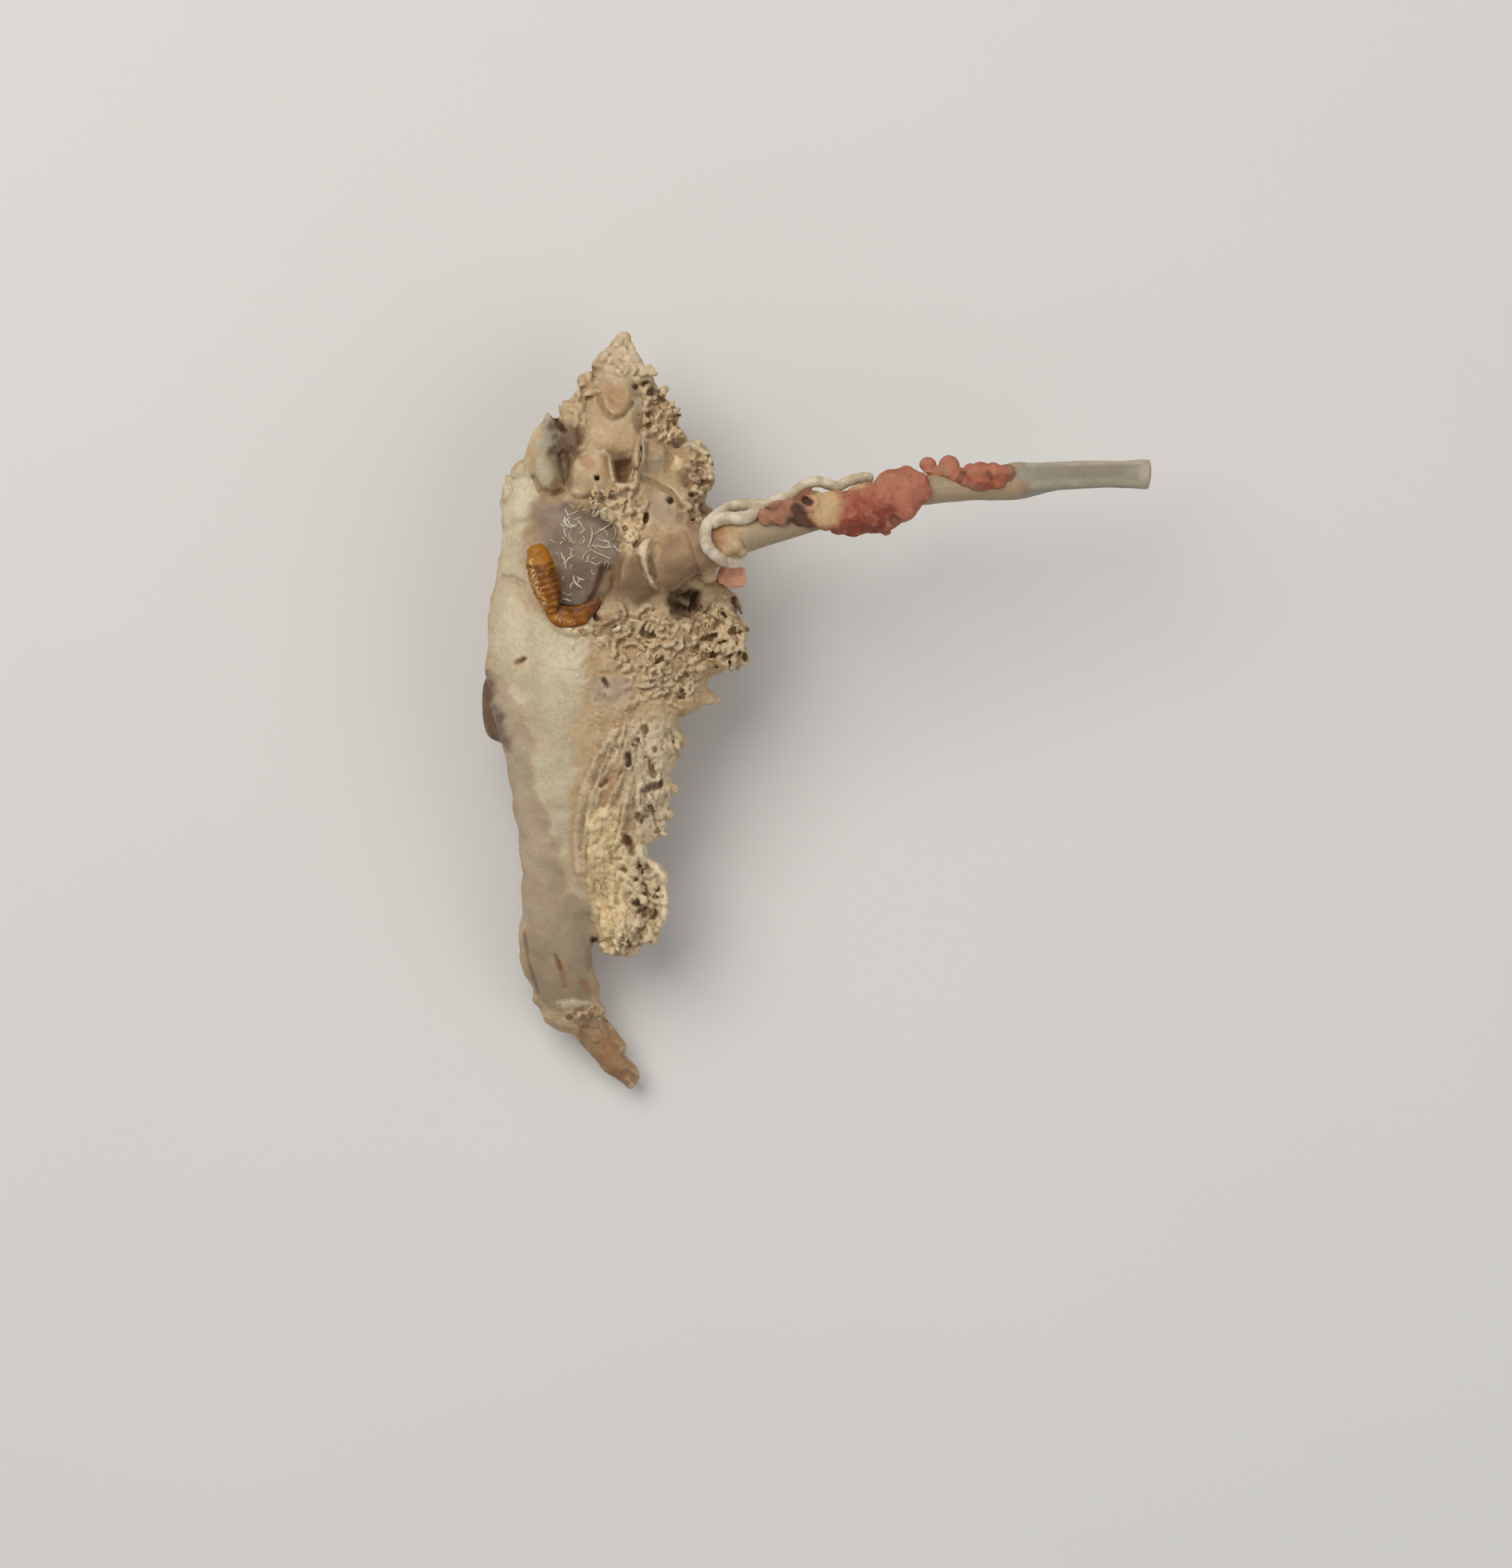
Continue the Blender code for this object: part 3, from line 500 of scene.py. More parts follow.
# each: place on the sheet, height, half-width and half-height in squares, half-depth, turn
KNOBS = [
    ((780, 422), 3.75, (10, 10), 0.26, 0), ((779, 431), 3.8, (12, 8), 0.3, 0), ((769, 431), 3.8, (6, 6), 0.2, 0),
    ((789, 434), 3.8, (6, 8), 0.22, 0), ((764, 439), 3.85, (8, 6), 0.24, 0), ((777, 441), 3.95, (13, 8), 0.3, 0),
    ((792, 442), 3.9, (8, 8), 0.26, 0), ((757, 447), 3.95, (8, 6), 0.24, 0), ((770, 450), 4.05, (12, 8), 0.32, 0),
    ((786, 451), 4.05, (12, 8), 0.32, 0), ((797, 452), 4.0, (7, 7), 0.26, 0), ((750, 456), 3.95, (9, 8), 0.28, 20),
    ((764, 461), 4.15, (12, 8), 0.34, 0), ((782, 462), 4.2, (14, 9), 0.36, 0), ((800, 461), 4.05, (10, 7), 0.3, 0),
    ((732, 476), 4.1, (12, 11), 0.34, 15), ((748, 484), 4.5, (16, 12), 0.34, 20), ((712, 512), 4.6, (12, 12), 0.34, 25),
    ((726, 520), 4.9, (14, 20), 0.34, 10), ((738, 494), 4.6, (11, 12), 0.3, 10), ((722, 496), 4.5, (10, 10), 0.3, 0),
    ((824, 494), 4.4, (4, 11), 0.26, -40), ((838, 509), 4.5, (4, 12), 0.28, -60), ((842, 524), 4.6, (4, 11), 0.28, -80),
    ((824, 520), 4.8, (5, 16), 0.3, -35), ((812, 502), 4.6, (4, 14), 0.28, -30), ((814, 540), 5.0, (5, 14),
        0.26, -50), ((874, 560), 5.0, (15, 7), 0.28, -25), ((886, 576), 5.0, (7, 17), 0.34, 12), ((866, 572),
        5.0, (5, 12), 0.24, -40),
    ((882, 598), 4.95, (6, 11), 0.3, 20), ((874, 620), 5.2, (9, 16), 0.34, 0), ((872, 640), 5.4, (8, 12), 0.34, 0),
    ((652, 588), 4.9, (14, 14), 0.5, 0), ((637, 618), 4.9, (9, 16), 0.5, 0), ((640, 664), 5.0, (10, 24), 0.5, 0),
    ((908, 688), 7.06, (10, 9), 0.3, 0), ((920, 682), 7.1, (10, 10), 0.3, 0), ((928, 690), 6.96, (8, 7), 0.26, 0),
    ((915, 697), 6.75, (10, 6), 0.24, 0), ((908, 676), 7.02, (8, 6), 0.2, 0), ((884, 718), 5.75, (14, 12), 0.4, -20),
    ((817, 1064), 3.6, (9, 8), 0.35, 30), ((828, 1090), 3.5, (8, 16), 0.4, 15), ((830, 1130), 3.4, (7, 24), 0.4, 0),
    ((816, 1168), 3.2, (16, 12), 0.4, -35), ((770, 1184), 3.0, (22, 10), 0.42, 0), ((775, 1150), 3.5, (26, 34),
        0.35, 0),
]


def shell_blank():
    """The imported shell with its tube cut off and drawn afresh, as one skin ready for the relief."""
    blank = from_node("shell", "fine_shell")
    take_all()
    bpy.ops.mesh.bisect(plane_co=(TUBE_CUT, 0, 0), plane_no=(1, 0, 0), use_fill=True, clear_outer=True)
    bpy.ops.mesh.select_all(action="SELECT")
    bpy.ops.mesh.bisect(plane_co=(0, APEX_CUT, 0), plane_no=(0, 1, 0), use_fill=True, clear_outer=True)
    bpy.ops.object.mode_set(mode="OBJECT")
    reskin(blank, 0.1, 4)
    parts = [blank, drawn_out("tube", TUBE_RUN, sides=28, bore=(0.62, 5))]
    for root, tip, root_height, tip_height, width in SPINES:
        start, end = place(*root, root_height), place(*tip, tip_height)
        wide = width / SQUARES
        stations = [(*start.lerp(end, share), wide * size) for share, size in ((-0.4, 0.8), (0, 1), (0.5, 0.74),
            (0.85, 0.46), (1.08, 0.22))]
        parts.append(drawn_out("spine", stations, sides=8))
    for spot, height, (wide, tall), deep, turn in KNOBS:
        parts.append(lump("knob", place(*spot, height), (wide / SQUARES, tall / SQUARES, deep), (0, 0, turn)))
    slit = drawn_out("slit", [(*place(*SLIT, 9), 0.05), (*place(*SLIT, 0), 0.05)], sides=4)
    pick(slit)
    take_all()
    bpy.ops.transform.resize(value=(1.6, 9, 1), center_override=place(*SLIT, 5))
    turn_selection(Euler((0, 0, math.radians(24))).to_matrix(), place(*SLIT, 5))
    bpy.ops.object.mode_set(mode="OBJECT")
    shell = join(parts, "fine_shell")
    return shell, slit


# forms on the sheet that are both shaped and stained
PIT = [(834, 737), (856, 733), (873, 741), (871, 757), (858, 768), (845, 770), (838, 757)]
LIP = [(815, 671), (806, 674), (799, 682), (798, 694), (803, 709), (811, 725), (819, 736), (815, 718), (810, 702),
    (809, 690), (813, 680)]
CONE = [(668, 570), (684, 562), (697, 574), (699, 600), (690, 615), (676, 612), (665, 592)]
FOLD_EDGE = [(756, 564), (764, 571), (766, 588), (769, 601), (776, 606), (787, 607)]
SCALE_1 = [(752, 615), (760, 618), (770, 617), (781, 611)]
SCALE_2 = [(745, 608), (747, 620), (745, 630)]
SCALE_3 = [(757, 622), (768, 628), (782, 624)]
SCALE_4 = [(743, 634), (749, 630), (756, 636), (755, 646)]
LOBE_RIDGE = [(786, 1124), (796, 1136), (799, 1152), (792, 1163)]
MOUTH_RIDGE = [(698, 783), (716, 790), (738, 786)]

MOUTH = [
    (688, 622), (716, 630), (766, 652), (780, 682), (768, 705), (760, 720), (749, 750), (737, 762), (698, 758),
        (684, 700),
    (670, 672), (662, 648), (672, 628),
]

# each: line or area on the sheet, its sizes in squares, and how far it is raised in millimetres. A line's sizes are
# its half-width and its soft edge, an area's is its soft edge
RELIEF = [
    # spire, from the apex down
    ("line", [(742, 463), (750, 470)], 2.2, 6.2, -0.11),
    ("area", [(747, 476), (757, 468), (779, 466), (795, 485), (790, 502), (779, 516), (767, 522), (756, 511),
        (745, 490)], 6.2, 0.27),
    ("line", [(749, 496), (756, 512), (767, 524), (780, 519), (791, 504)], 0.8, 3, -0.14),
    ("line", [(763, 497), (768, 503)], 0.6, 2.8, -0.08),
    ("area", [(739, 494), (750, 500), (757, 519), (767, 526), (782, 521), (792, 508), (800, 520), (806, 540),
        (797, 562), (770, 570), (735, 562), (733, 539), (737, 517)], 6.2, 0.2),
    ("line", [(744, 497), (740, 512)], 1.9, 4.2, 0.12),
    ("area", [(767, 576), (769, 590), (773, 602), (789, 604), (793, 582), (790, 572)], 3, -0.34),
    ("area", [(763, 564), (795, 554), (790, 606), (769, 606)], 12, -0.26),
    ("line", [(768, 592), (786, 590)], 0.8, 2.8, 0.08),
    ("line", [(768, 600), (785, 599)], 0.8, 2.8, 0.1),
    ("area", [(714, 590), (716, 580), (722, 570), (732, 564), (745, 561), (757, 564), (765, 571), (767, 590),
        (770, 603), (785, 606), (776, 614), (757, 620), (744, 616), (726, 620), (714, 616), (710, 604)], 2.6, 0.28),
    ("line", FOLD_EDGE, 1, 2.2, 0.09),
    ("line", SCALE_1, 0.9, 1.8, 0.14),
    ("line", SCALE_2, 0.9, 1.8, 0.2),
    ("line", SCALE_3, 1, 2, 0.14),
    ("line", SCALE_4, 1.4, 2.2, 0.16),
    ("line", [(790, 612), (786, 630), (788, 646)], 1.2, 2.4, 0.12),
    ("line", [(747, 597), (747, 598)], 1.4, 1.8, -0.45),
    ("line", [(806, 539, 0.6), (800, 560, 1), (796, 580, 1.2), (791, 606, 1)], 5.5, 2.5, 0.3),
    ("line", [(802, 560), (799, 575)], 0.8, 1.8, -0.26),
    ("line", [(795, 585), (792, 600)], 1, 1.8, -0.3),
    ("line", [(806, 541), (805, 560), (803, 590)], 0.9, 2.2, 0.06),
    ("line", [(738, 500), (731, 518), (727, 536), (726, 552)], 2, 6, -0.2),
    ("area", [(748, 528), (766, 536), (790, 528), (794, 552), (768, 560), (744, 552)], 9, -0.14),
    ("area", [(722, 572), (738, 567), (748, 580), (742, 590), (724, 590)], 7.5, -0.11),
    # left shoulder
    ("line", [(692, 517), (699, 530), (706, 538)], 1.2, 3.8, -0.4),
    ("line", [(696, 545), (697, 560)], 0.8, 3.5, -0.1),
    ("area", CONE, 7.5, 0.31),
    ("line", [(668, 596), (677, 613), (692, 617), (704, 613)], 1, 3.8, -0.26),
    ("line", [(704, 568), (708, 590), (712, 610)], 2.2, 6.2, -0.24),
    ("line", [(629, 664), (650, 652), (668, 648)], 0.9, 4.9, -0.1),
    ("line", [(628, 722), (640, 722), (655, 730)], 1.1, 4.2, -0.13),
    ("line", [(646, 828), (652, 826), (657, 823)], 1, 3, -0.18),
    # right shoulder
    ("area", [(801, 600), (816, 604), (836, 617), (851, 638), (848, 656), (831, 664), (811, 648), (801, 628)],
        6.2, 0.18),
    ("line", [(838, 625), (838.5, 626)], 2, 3.2, -0.48),
    ("line", [(800, 596), (818, 602), (838, 614), (853, 634)], 1, 4.2, -0.18),
    ("line", [(862, 558), (863, 559)], 4.5, 7.5, 0.14),
    ("line", [(874, 585), (880, 600)], 3.8, 6.2, -0.11),
    ("line", [(868, 620), (874, 640), (866, 655)], 3, 4.9, -0.1),
    ("line", [(794, 483), (794, 484)], 1.8, 3.5, -0.32),
    ("line", [(806, 480), (809, 478)], 1.2, 3.5, -0.26),
    ("line", [(814, 489), (824, 492)], 2, 4.2, -0.24),
    ("line", [(799, 500), (799, 512)], 3, 4.9, 0.13),
    ("line", [(808, 505), (807, 528)], 1, 3.5, 0.21),
    ("line", [(807, 645), (808, 650)], 1.5, 3, -0.32),
    ("line", [(780, 660), (781, 661)], 1.2, 2.7, -0.24),
    # mouth
    ("line", [(759, 714), (752, 738), (743, 754)], 3, 8.9, -0.24),
    ("line", [(700, 758), (722, 762), (742, 757)], 1.5, 4.9, -0.18),
    ("line", MOUTH_RIDGE, 1.9, 4.9, 0.13),
    # tube root and its white lip
    ("area", LIP, 2, 0.24),
    ("line", [(822, 680), (812, 700), (818, 722)], 1.1, 4.9, -0.16),
    ("area", PIT, 7, -0.46),
    ("line", [(853, 748), (862, 744)], 2.2, 4.9, 0.2),
    # apron
    ("area", [(737, 848), (765, 842), (785, 850), (790, 872), (760, 885), (745, 872)], 8.8, -0.05),
    ("line", [(755, 849), (760, 857)], 0.7, 2.6, -0.24),
    ("line", [(918, 748), (925, 768)], 1.8, 3.5, -0.32),
    ("line", [(901, 762), (908, 770)], 1.5, 3.5, -0.4),
    ("line", [(884, 800), (894, 795)], 2.2, 3.5, -0.4),
    ("line", [(870, 812), (880, 818)], 2.2, 4.9, -0.24),
    ("line", [(900, 805), (908, 801)], 1.5, 3.5, -0.32),
    ("line", [(915, 790), (921, 800)], 1.8, 3.5, -0.24),
    ("line", [(744, 769), (748, 773)], 2, 3.5, -0.32),
    ("line", [(806, 790), (815, 792)], 2.2, 4.9, -0.32),
    ("line", [(822, 826), (828, 822)], 1.5, 3.5, -0.32),
    ("line", [(849, 868), (853, 865)], 2.2, 4.9, -0.28),
    # frill and lobe
    ("line", [(806, 909), (807, 914)], 1.8, 4, -0.26),
    ("line", [(785, 944), (786, 954)], 1.6, 4.5, -0.26),
    ("line", [(814, 950), (816, 966)], 2, 4, -0.28),
    ("line", [(807, 987), (815, 984)], 2.4, 4.6, -0.32), ("line", [(822, 981), (824, 980)], 2, 4, -0.24),
    ("line", [(808, 1016), (814, 1012)], 1.8, 4.5, -0.28),
    ("line", [(838, 915), (842, 925)], 2.2, 4.9, -0.24),
    ("line", [(797, 1018), (801, 1026)], 1.5, 3.5, -0.32),
    ("line", [(784, 1049), (786, 1053)], 2.5, 4, -0.4),
    ("line", [(791, 1060), (792, 1066)], 2, 4.5, -0.28), ("line", [(797, 1080), (800, 1088)], 2, 4.5, -0.28),
    ("line", [(805, 1106), (808, 1114)], 2.6, 4.6, -0.3),
    ("line", [(798, 1128), (806, 1140), (818, 1142)], 3, 4, -0.36),
    ("line", [(776, 1084), (782, 1087)], 2, 3.5, -0.24),
    ("line", [(752, 981), (757, 976)], 1.5, 3.5, -0.24),
    ("line", [(800, 1062), (806, 1070), (822, 1082), (832, 1098), (836, 1116), (833, 1150), (826, 1164)], 4.2, 5, 0.26),
    ("line", LOBE_RIDGE, 1.4, 3.5, 0.16),
    ("line", [(742, 1174), (746, 1182)], 2, 4, -0.4),
    ("line", [(748, 1176), (768, 1172), (788, 1180)], 0.9, 4.2, -0.16),
    # flow lines that sweep down the front
    ("line", [(768, 912), (745, 950), (728, 990), (718, 1040), (722, 1090)], 1, 5.5, 0.1),
    ("line", [(775, 925), (752, 965), (737, 1005), (728, 1050), (730, 1090)], 0.8, 4.9, 0.1),
    ("line", [(786, 960), (768, 990), (757, 1020)], 0.9, 4.9, 0.1),
    ("line", [(790, 968), (782, 1000), (780, 1040)], 0.8, 4.2, 0.1),
    ("line", [(800, 968), (796, 1010), (800, 1040)], 0.8, 4.2, 0.08),
    ("line", [(770, 935), (746, 975), (733, 1020), (726, 1060)], 0.8, 4.9, -0.1),
    # canal
    ("line", [(695, 1194, 0.2), (699, 1204, 1), (704, 1218, 0.6), (707, 1234, 0.1)], 0.8, 5, -0.09),
    ("line", [(729, 1228), (734, 1238)], 1, 6, -0.06),
    ("line", [(700, 1256), (718, 1253), (735, 1256)], 2.2, 4.9, 0.11),
    ("line", [(712, 1272), (722, 1262), (733, 1258)], 1.4, 4.2, -0.16),
    ("line", [(742, 1175), (745, 1215), (757, 1255), (776, 1300)], 2.2, 6.2, 0.08),
    ("line", [(781, 1309), (772, 1302)], 1.5, 4.9, 0.1),
    ("line", [(770, 1346), (785, 1340), (799, 1352)], 1.1, 4.9, -0.1),
]


# the two lines on the sheet between which the front's fibres run, how many there are, and how high they stand
FIBRES = [
    ([(764, 905), (742, 948), (724, 990), (714, 1040), (722, 1100)], [(822, 905), (822, 960), (812, 1010),
        (800, 1062), (796, 1090)], 13, 0.055),
    ([(737, 1050), (735, 1090), (741, 1130), (748, 1176)], [(784, 1040), (786, 1080), (785, 1130), (776, 1184)],
        11, 0.045),
    ([(662, 860), (668, 900), (690, 960), (702, 1010)], [(724, 880), (722, 930), (712, 970), (706, 1010)], 5, 0.02),
]

# outlines on the sheet where the shell is bored by small holes: how many, their size in squares and depth
BORED = [
    ([(868, 760), (905, 745), (938, 785), (930, 832), (885, 838)], 15, (1.0, 2.4), 0.3),
    ([(862, 560), (890, 556), (892, 600), (876, 645), (862, 620)], 11, (0.8, 1.9), 0.22),
    ([(792, 912), (845, 900), (846, 950), (830, 1040), (800, 1050), (790, 980)], 6, (0.8, 2.2), 0.26),
    ([(790, 1060), (806, 1072), (824, 1096), (824, 1145), (806, 1150), (790, 1120)], 9, (1.0, 2.6), 0.28),
    ([(742, 1020), (780, 1012), (785, 1090), (778, 1180), (750, 1180)], 8, (0.6, 1.3), 0.12),
    ([(800, 470), (836, 490), (850, 530), (820, 556), (802, 520)], 8, (0.8, 1.8), 0.24),
    ([(700, 770), (800, 770), (880, 780), (860, 860), (800, 860), (740, 830)], 8, (0.6, 1.6), 0.18),
]


# places on the sheet where the outline is pushed: how far the push reaches, and by how much, in squares
PUSHES = [
    ((768, 424), 6, (-2.5, -1)), ((749, 446), 7, (3.5, 1)), ((800, 439), 5, (-2.5, 1)), ((809, 455), 6, (-1, 4)),
    ((819, 468), 4, (2.5, 0)), ((846, 503), 5, (-2, 2)), ((884, 554), 10, (-3, 3)), ((892, 630), 15, (-15, 0)),
        ((880, 652), 8, (-4, 0)),
    ((643, 580), 8, (2.5, 1.5)), ((629, 660), 8, (2.5, 0)), ((616, 730), 14, (4, 0)), ((609, 800), 16, (2.5, 0)),
    ((604, 848), 14, (-2.5, 0)), ((922, 752), 5, (-2, 2)), ((893, 846), 10, (-4, -4)), ((924, 833), 8, (1, 3)),
    ((899, 874), 6, (-2, 0)), ((858, 896), 9, (-6, -1)), ((862, 906), 11, (-9, -2)), ((842, 966), 8, (-5, 0)),
    ((838, 1000), 5, (-3, 0)), ((832, 1027), 6, (3, 0)), ((824, 1047), 5, (-3, 0)), ((821, 1063), 10, (-18, 0)),
        ((850, 908), 9, (-5, 0)), ((716, 492), 9, (4, 2)), ((752, 440), 6, (2, 1)),
    ((832, 1082), 8, (-4, 2)), ((828, 1172), 8, (-8, -6)), ((806, 1187), 9, (-1, -4)), ((745, 1180), 6, (2, 6)),
    ((750, 1236), 16, (7, 0)), ((748, 1260), 10, (8, 0)), ((762, 1280), 12, (2, 0)), ((631, 950), 14, (3, 0)),
        ((651, 1090), 30, (3, 0)),
    ((661, 1230), 20, (8, 0)), ((676, 1262), 12, (5, -3)), ((715, 1294), 14, (2, -5)), ((757, 1340), 14, (-1, 5)),
        ((776, 1352), 10, (1, 3)),
    ((786, 1358), 8, (1, 4)), ((791, 1318), 11, (-9, 1)),
]

# outlines on the sheet where the shell has weathered: to flat plates, to shards that stand on edge or to pits between
# thin walls; then their length and width in squares, the way they lie in degrees, how far that varies, and how high
# they stand in millimetres
WEATHERED = [
    ("plates", [(735, 860), (800, 850), (806, 925), (760, 950), (730, 930)], 12, 14, 7, -30, 70, 0.04),
    ("shards", [(742, 776), (800, 760), (850, 762), (905, 752), (905, 810), (880, 850), (852, 882), (806, 880),
        (790, 850), (752, 822)], 14, 20, 8, -50, 60, 0.048),
    ("pits", [(866, 758), (905, 745), (930, 750), (938, 800), (932, 838), (872, 846)], 13, 24, 12, 70, 60, 0.06),
    ("shards", [(742, 608), (790, 606), (802, 640), (790, 690), (768, 660), (744, 646)], 11, 18, 7, 20, 50, 0.035),
    ("pits", [(854, 578), (872, 566), (890, 566), (894, 600), (880, 655), (862, 656), (852, 610)],
        9, 14, 9, 80, 60, 0.06),
    ("shards", [(795, 470), (815, 478), (852, 508), (856, 556), (822, 560), (803, 530), (796, 500)],
        11, 20, 9, -45, 40, 0.045),
    ("plates", [(745, 432), (780, 424), (806, 436), (818, 470), (795, 478), (760, 466), (722, 500), (735, 520),
        (716, 556), (700, 530), (712, 500), (735, 466)], 11, 10, 7, 0, 90, 0.034),
    ("shards", [(788, 900), (850, 890), (856, 940), (842, 1000), (834, 1046), (806, 1058), (792, 1010), (786, 950)],
        12, 30, 9, 75, 18, 0.025),
    ("pits", [(788, 1062), (804, 1078), (816, 1104), (818, 1146), (800, 1180), (786, 1140)], 7, 12, 9, 60, 60, 0.065),
    ("plates", [(735, 1015), (780, 1008), (790, 1060), (788, 1140), (778, 1176), (746, 1176), (738, 1110)],
        11, 19, 5, 87, 10, 0.022),
    ("plates", [(744, 1172), (780, 1168), (812, 1172), (800, 1192), (765, 1198), (746, 1188)], 9, 8, 6, 0, 90, 0.06),
    ("plates", [(690, 800), (748, 800), (790, 850), (800, 900), (740, 930), (700, 880), (684, 830)],
        17, 18, 10, -60, 50, 0.02),
    ("plates", [(606, 745), (640, 735), (672, 760), (700, 790), (676, 880), (640, 850), (606, 830)],
        17, 20, 11, 70, 40, 0.014),
    ("plates", [(700, 1262), (740, 1254), (762, 1290), (780, 1320), (755, 1330), (724, 1284)], 11, 9, 6, 40, 60, 0.03),
    ("plates", [(745, 905), (790, 900), (786, 1000), (735, 1012), (724, 990)], 13, 26, 5, 68, 12, 0.029),
]


def weathered(clay, dice, form, outline, soft, long, wide, way, turn, lift):
    """Breaks the skin in an outline into small fields, shapes each one by the form, and notes its tone and its rim,
    with painted highlight on raised edges and walls and painted shade in cracks and pit bottoms.
    """
    cover = in_outline(clay.wavy, outline, soft) * clay.up
    near = np.where(cover > 0.01)[0]
    low, high = np.min(outline, 0) - long, np.max(outline, 0) + long
    count = int(np.prod(high - low) / (long * wide * 0.8))
    seeds = low + dice.random((count, 2)) * (high - low)
    turns = np.radians(way + dice.uniform(-turn, turn, count))
    lean, rise, size = dice.uniform(-1, 1, (count, 2)), dice.uniform(-0.7, 0.7, count), dice.uniform(0.55, 1.6, count)
    strong = min(lift / 0.1, 1)
    for chunk in np.array_split(near, max(1, len(near) // 3000)):
        spots = clay.seen[chunk]
        spots = spots + 1.3 * np.sin(spots[:, ::-1] * 0.62 + 2) + 0.8 * np.sin(spots[:, ::-1] * 1.27 + spots * 0.4)
        away = spots[:, None] - seeds[None]
        along = (away[..., 0] * np.cos(turns) + away[..., 1] * np.sin(turns)) / long
        aside = (away[..., 1] * np.cos(turns) - away[..., 0] * np.sin(turns)) / wide
        reach = np.hypot(along, aside) / size
        nearest = np.argpartition(reach, 1, axis=1)[:, :2]
        rows = np.arange(len(chunk))[:, None]
        nearest = nearest[rows, np.argsort(reach[rows, nearest], axis=1)]
        own, next_one = nearest[:, 0], nearest[:, 1]
        row = np.arange(len(chunk))
        apart = reach[row, next_one] - reach[row, own]
        rim = 1 - np.clip(apart / 0.26, 0, 1)
        tilt = along[row, own] * lean[own, 0] + aside[row, own] * lean[own, 1]
        # tint: each field's own tone, with painted highlight on the high edges of shards and on pit walls; dark:
        # painted shade in cracks, on the low side of shards and in pit bottoms
        if form == "plates":
            height = tilt * 0.9 + rise[own] * 0.8 - rim * rim * 0.5
            tint, dark = rise[own], rim
        elif form == "shards":
            edge = eased(tilt * 5 + 0.5)
            height = tilt * 1.5 + rise[own] * 0.5 - rim * rim * 0.6 * (1 - edge)
            tint, dark = rise[own] * 0.7 + rim * edge * 0.6, rim * (1 - edge)
        else:
            wall, deep = 1 - eased(apart / 0.34), np.clip(0.45 + rise[own], 0, 1)
            height = wall * (0.5 + rise[next_one] * 0.4) - eased(apart / 0.9) * deep * 1.5
            tint, dark = wall * 0.55 - deep * eased(apart / 0.8) * 0.8, eased(apart / 1.1) * deep
        clay.points[chunk] += (cover[chunk] * lift * height)[:, None] * clay.normals[chunk]
        clay.plate[chunk] += cover[chunk] * tint * strong
        clay.rim[chunk] = np.maximum(clay.rim[chunk], cover[chunk] * dark * strong)


# outlines on the sheet where thin edges curl up: how many, how long in squares, the way they lie in degrees, how far
# that varies, and how high they stand in millimetres
CURLED = [
    ([(742, 778), (800, 762), (850, 764), (900, 764), (898, 806), (870, 846), (846, 880), (806, 878), (790, 850),
        (752, 818)], 105, (6, 26), -40, 70, 0.036),
    ([(866, 760), (905, 748), (928, 754), (935, 800), (928, 834), (874, 842)], 30, (8, 28), 70, 50, 0.05),
    ([(742, 610), (790, 607), (802, 640), (788, 684), (768, 656), (744, 646)], 30, (7, 22), 20, 60, 0.036),
    ([(856, 574), (876, 562), (892, 572), (890, 604), (880, 650), (862, 654), (854, 612)], 22, (7, 22), 70, 60, 0.045),
    ([(798, 474), (815, 480), (846, 508), (852, 552), (824, 556), (805, 530)], 30, (7, 22), -50, 40, 0.045),
    ([(748, 434), (780, 426), (800, 438), (812, 468), (795, 474), (760, 462)], 14, (6, 14), 10, 50, 0.03),
    ([(735, 468), (745, 480), (736, 520), (716, 552), (706, 530), (714, 504)], 12, (8, 20), -70, 40, 0.032),
    ([(792, 905), (846, 896), (850, 940), (836, 1000), (828, 1040), (806, 1052), (796, 1010), (788, 950)],
        30, (12, 40), 80, 18, 0.03),
    ([(788, 1066), (804, 1080), (818, 1106), (820, 1146), (800, 1176), (788, 1140)], 18, (7, 20), 60, 70, 0.045),
    ([(738, 1020), (780, 1012), (788, 1060), (784, 1140), (776, 1174), (748, 1174), (740, 1110)], 34, (12, 40),
        87, 9, 0.018),
    ([(746, 1174), (780, 1172), (806, 1174), (798, 1190), (765, 1194), (750, 1186)], 14, (5, 13), 0, 90, 0.04),
    ([(704, 800), (748, 806), (786, 850), (796, 896), (745, 900), (716, 850)], 30, (6, 18), -50, 50, 0.016),
    ([(704, 1264), (738, 1258), (758, 1290), (776, 1318), (752, 1322), (724, 1284)], 12, (6, 14), 40, 50, 0.022),
    ([(836, 740), (858, 736), (872, 744), (868, 758), (852, 766), (842, 758)], 9, (6, 14), 20, 80, 0.06),
]


def curled(clay, dice, outline, count, lengths, way, turn, lift):
    """Raises thin curled edges on the skin, each with a hollow on its lower right, the side away from the light:
    painted highlight on the edge, painted shadow in the hollow.
    """
    for x, y in scattered(dice, outline, count):
        length, angle, bend = dice.uniform(*lengths), math.radians(way + dice.uniform(-turn,
            turn)), dice.uniform(-0.6, 0.6)
        line = [(x, y, 0.4)]
        for size in (0.9, 1.1, 0.8, 0.3):
            line.append((line[-1][0] + length / 4 * math.cos(angle), line[-1][1] + length / 4 * math.sin(angle), size))
            angle += bend
        wide, height = dice.uniform(0.6, 2.2), lift * dice.uniform(0.4, 1.6)
        edge = clay.line(line, wide, 2.4)
        hollow = clay.line([(x + 2.4, y + 2.6, size) for x, y, size in line], wide + 1, 3.6) * (1 - edge)
        clay.points += ((edge - hollow * 0.9) * height)[:, None] * clay.normals
        strong = min(height / 0.06, 1)
        clay.plate += (edge * 0.55 - hollow * 0.5) * strong
        clay.rim = np.maximum(clay.rim, hollow * 0.7 * strong)


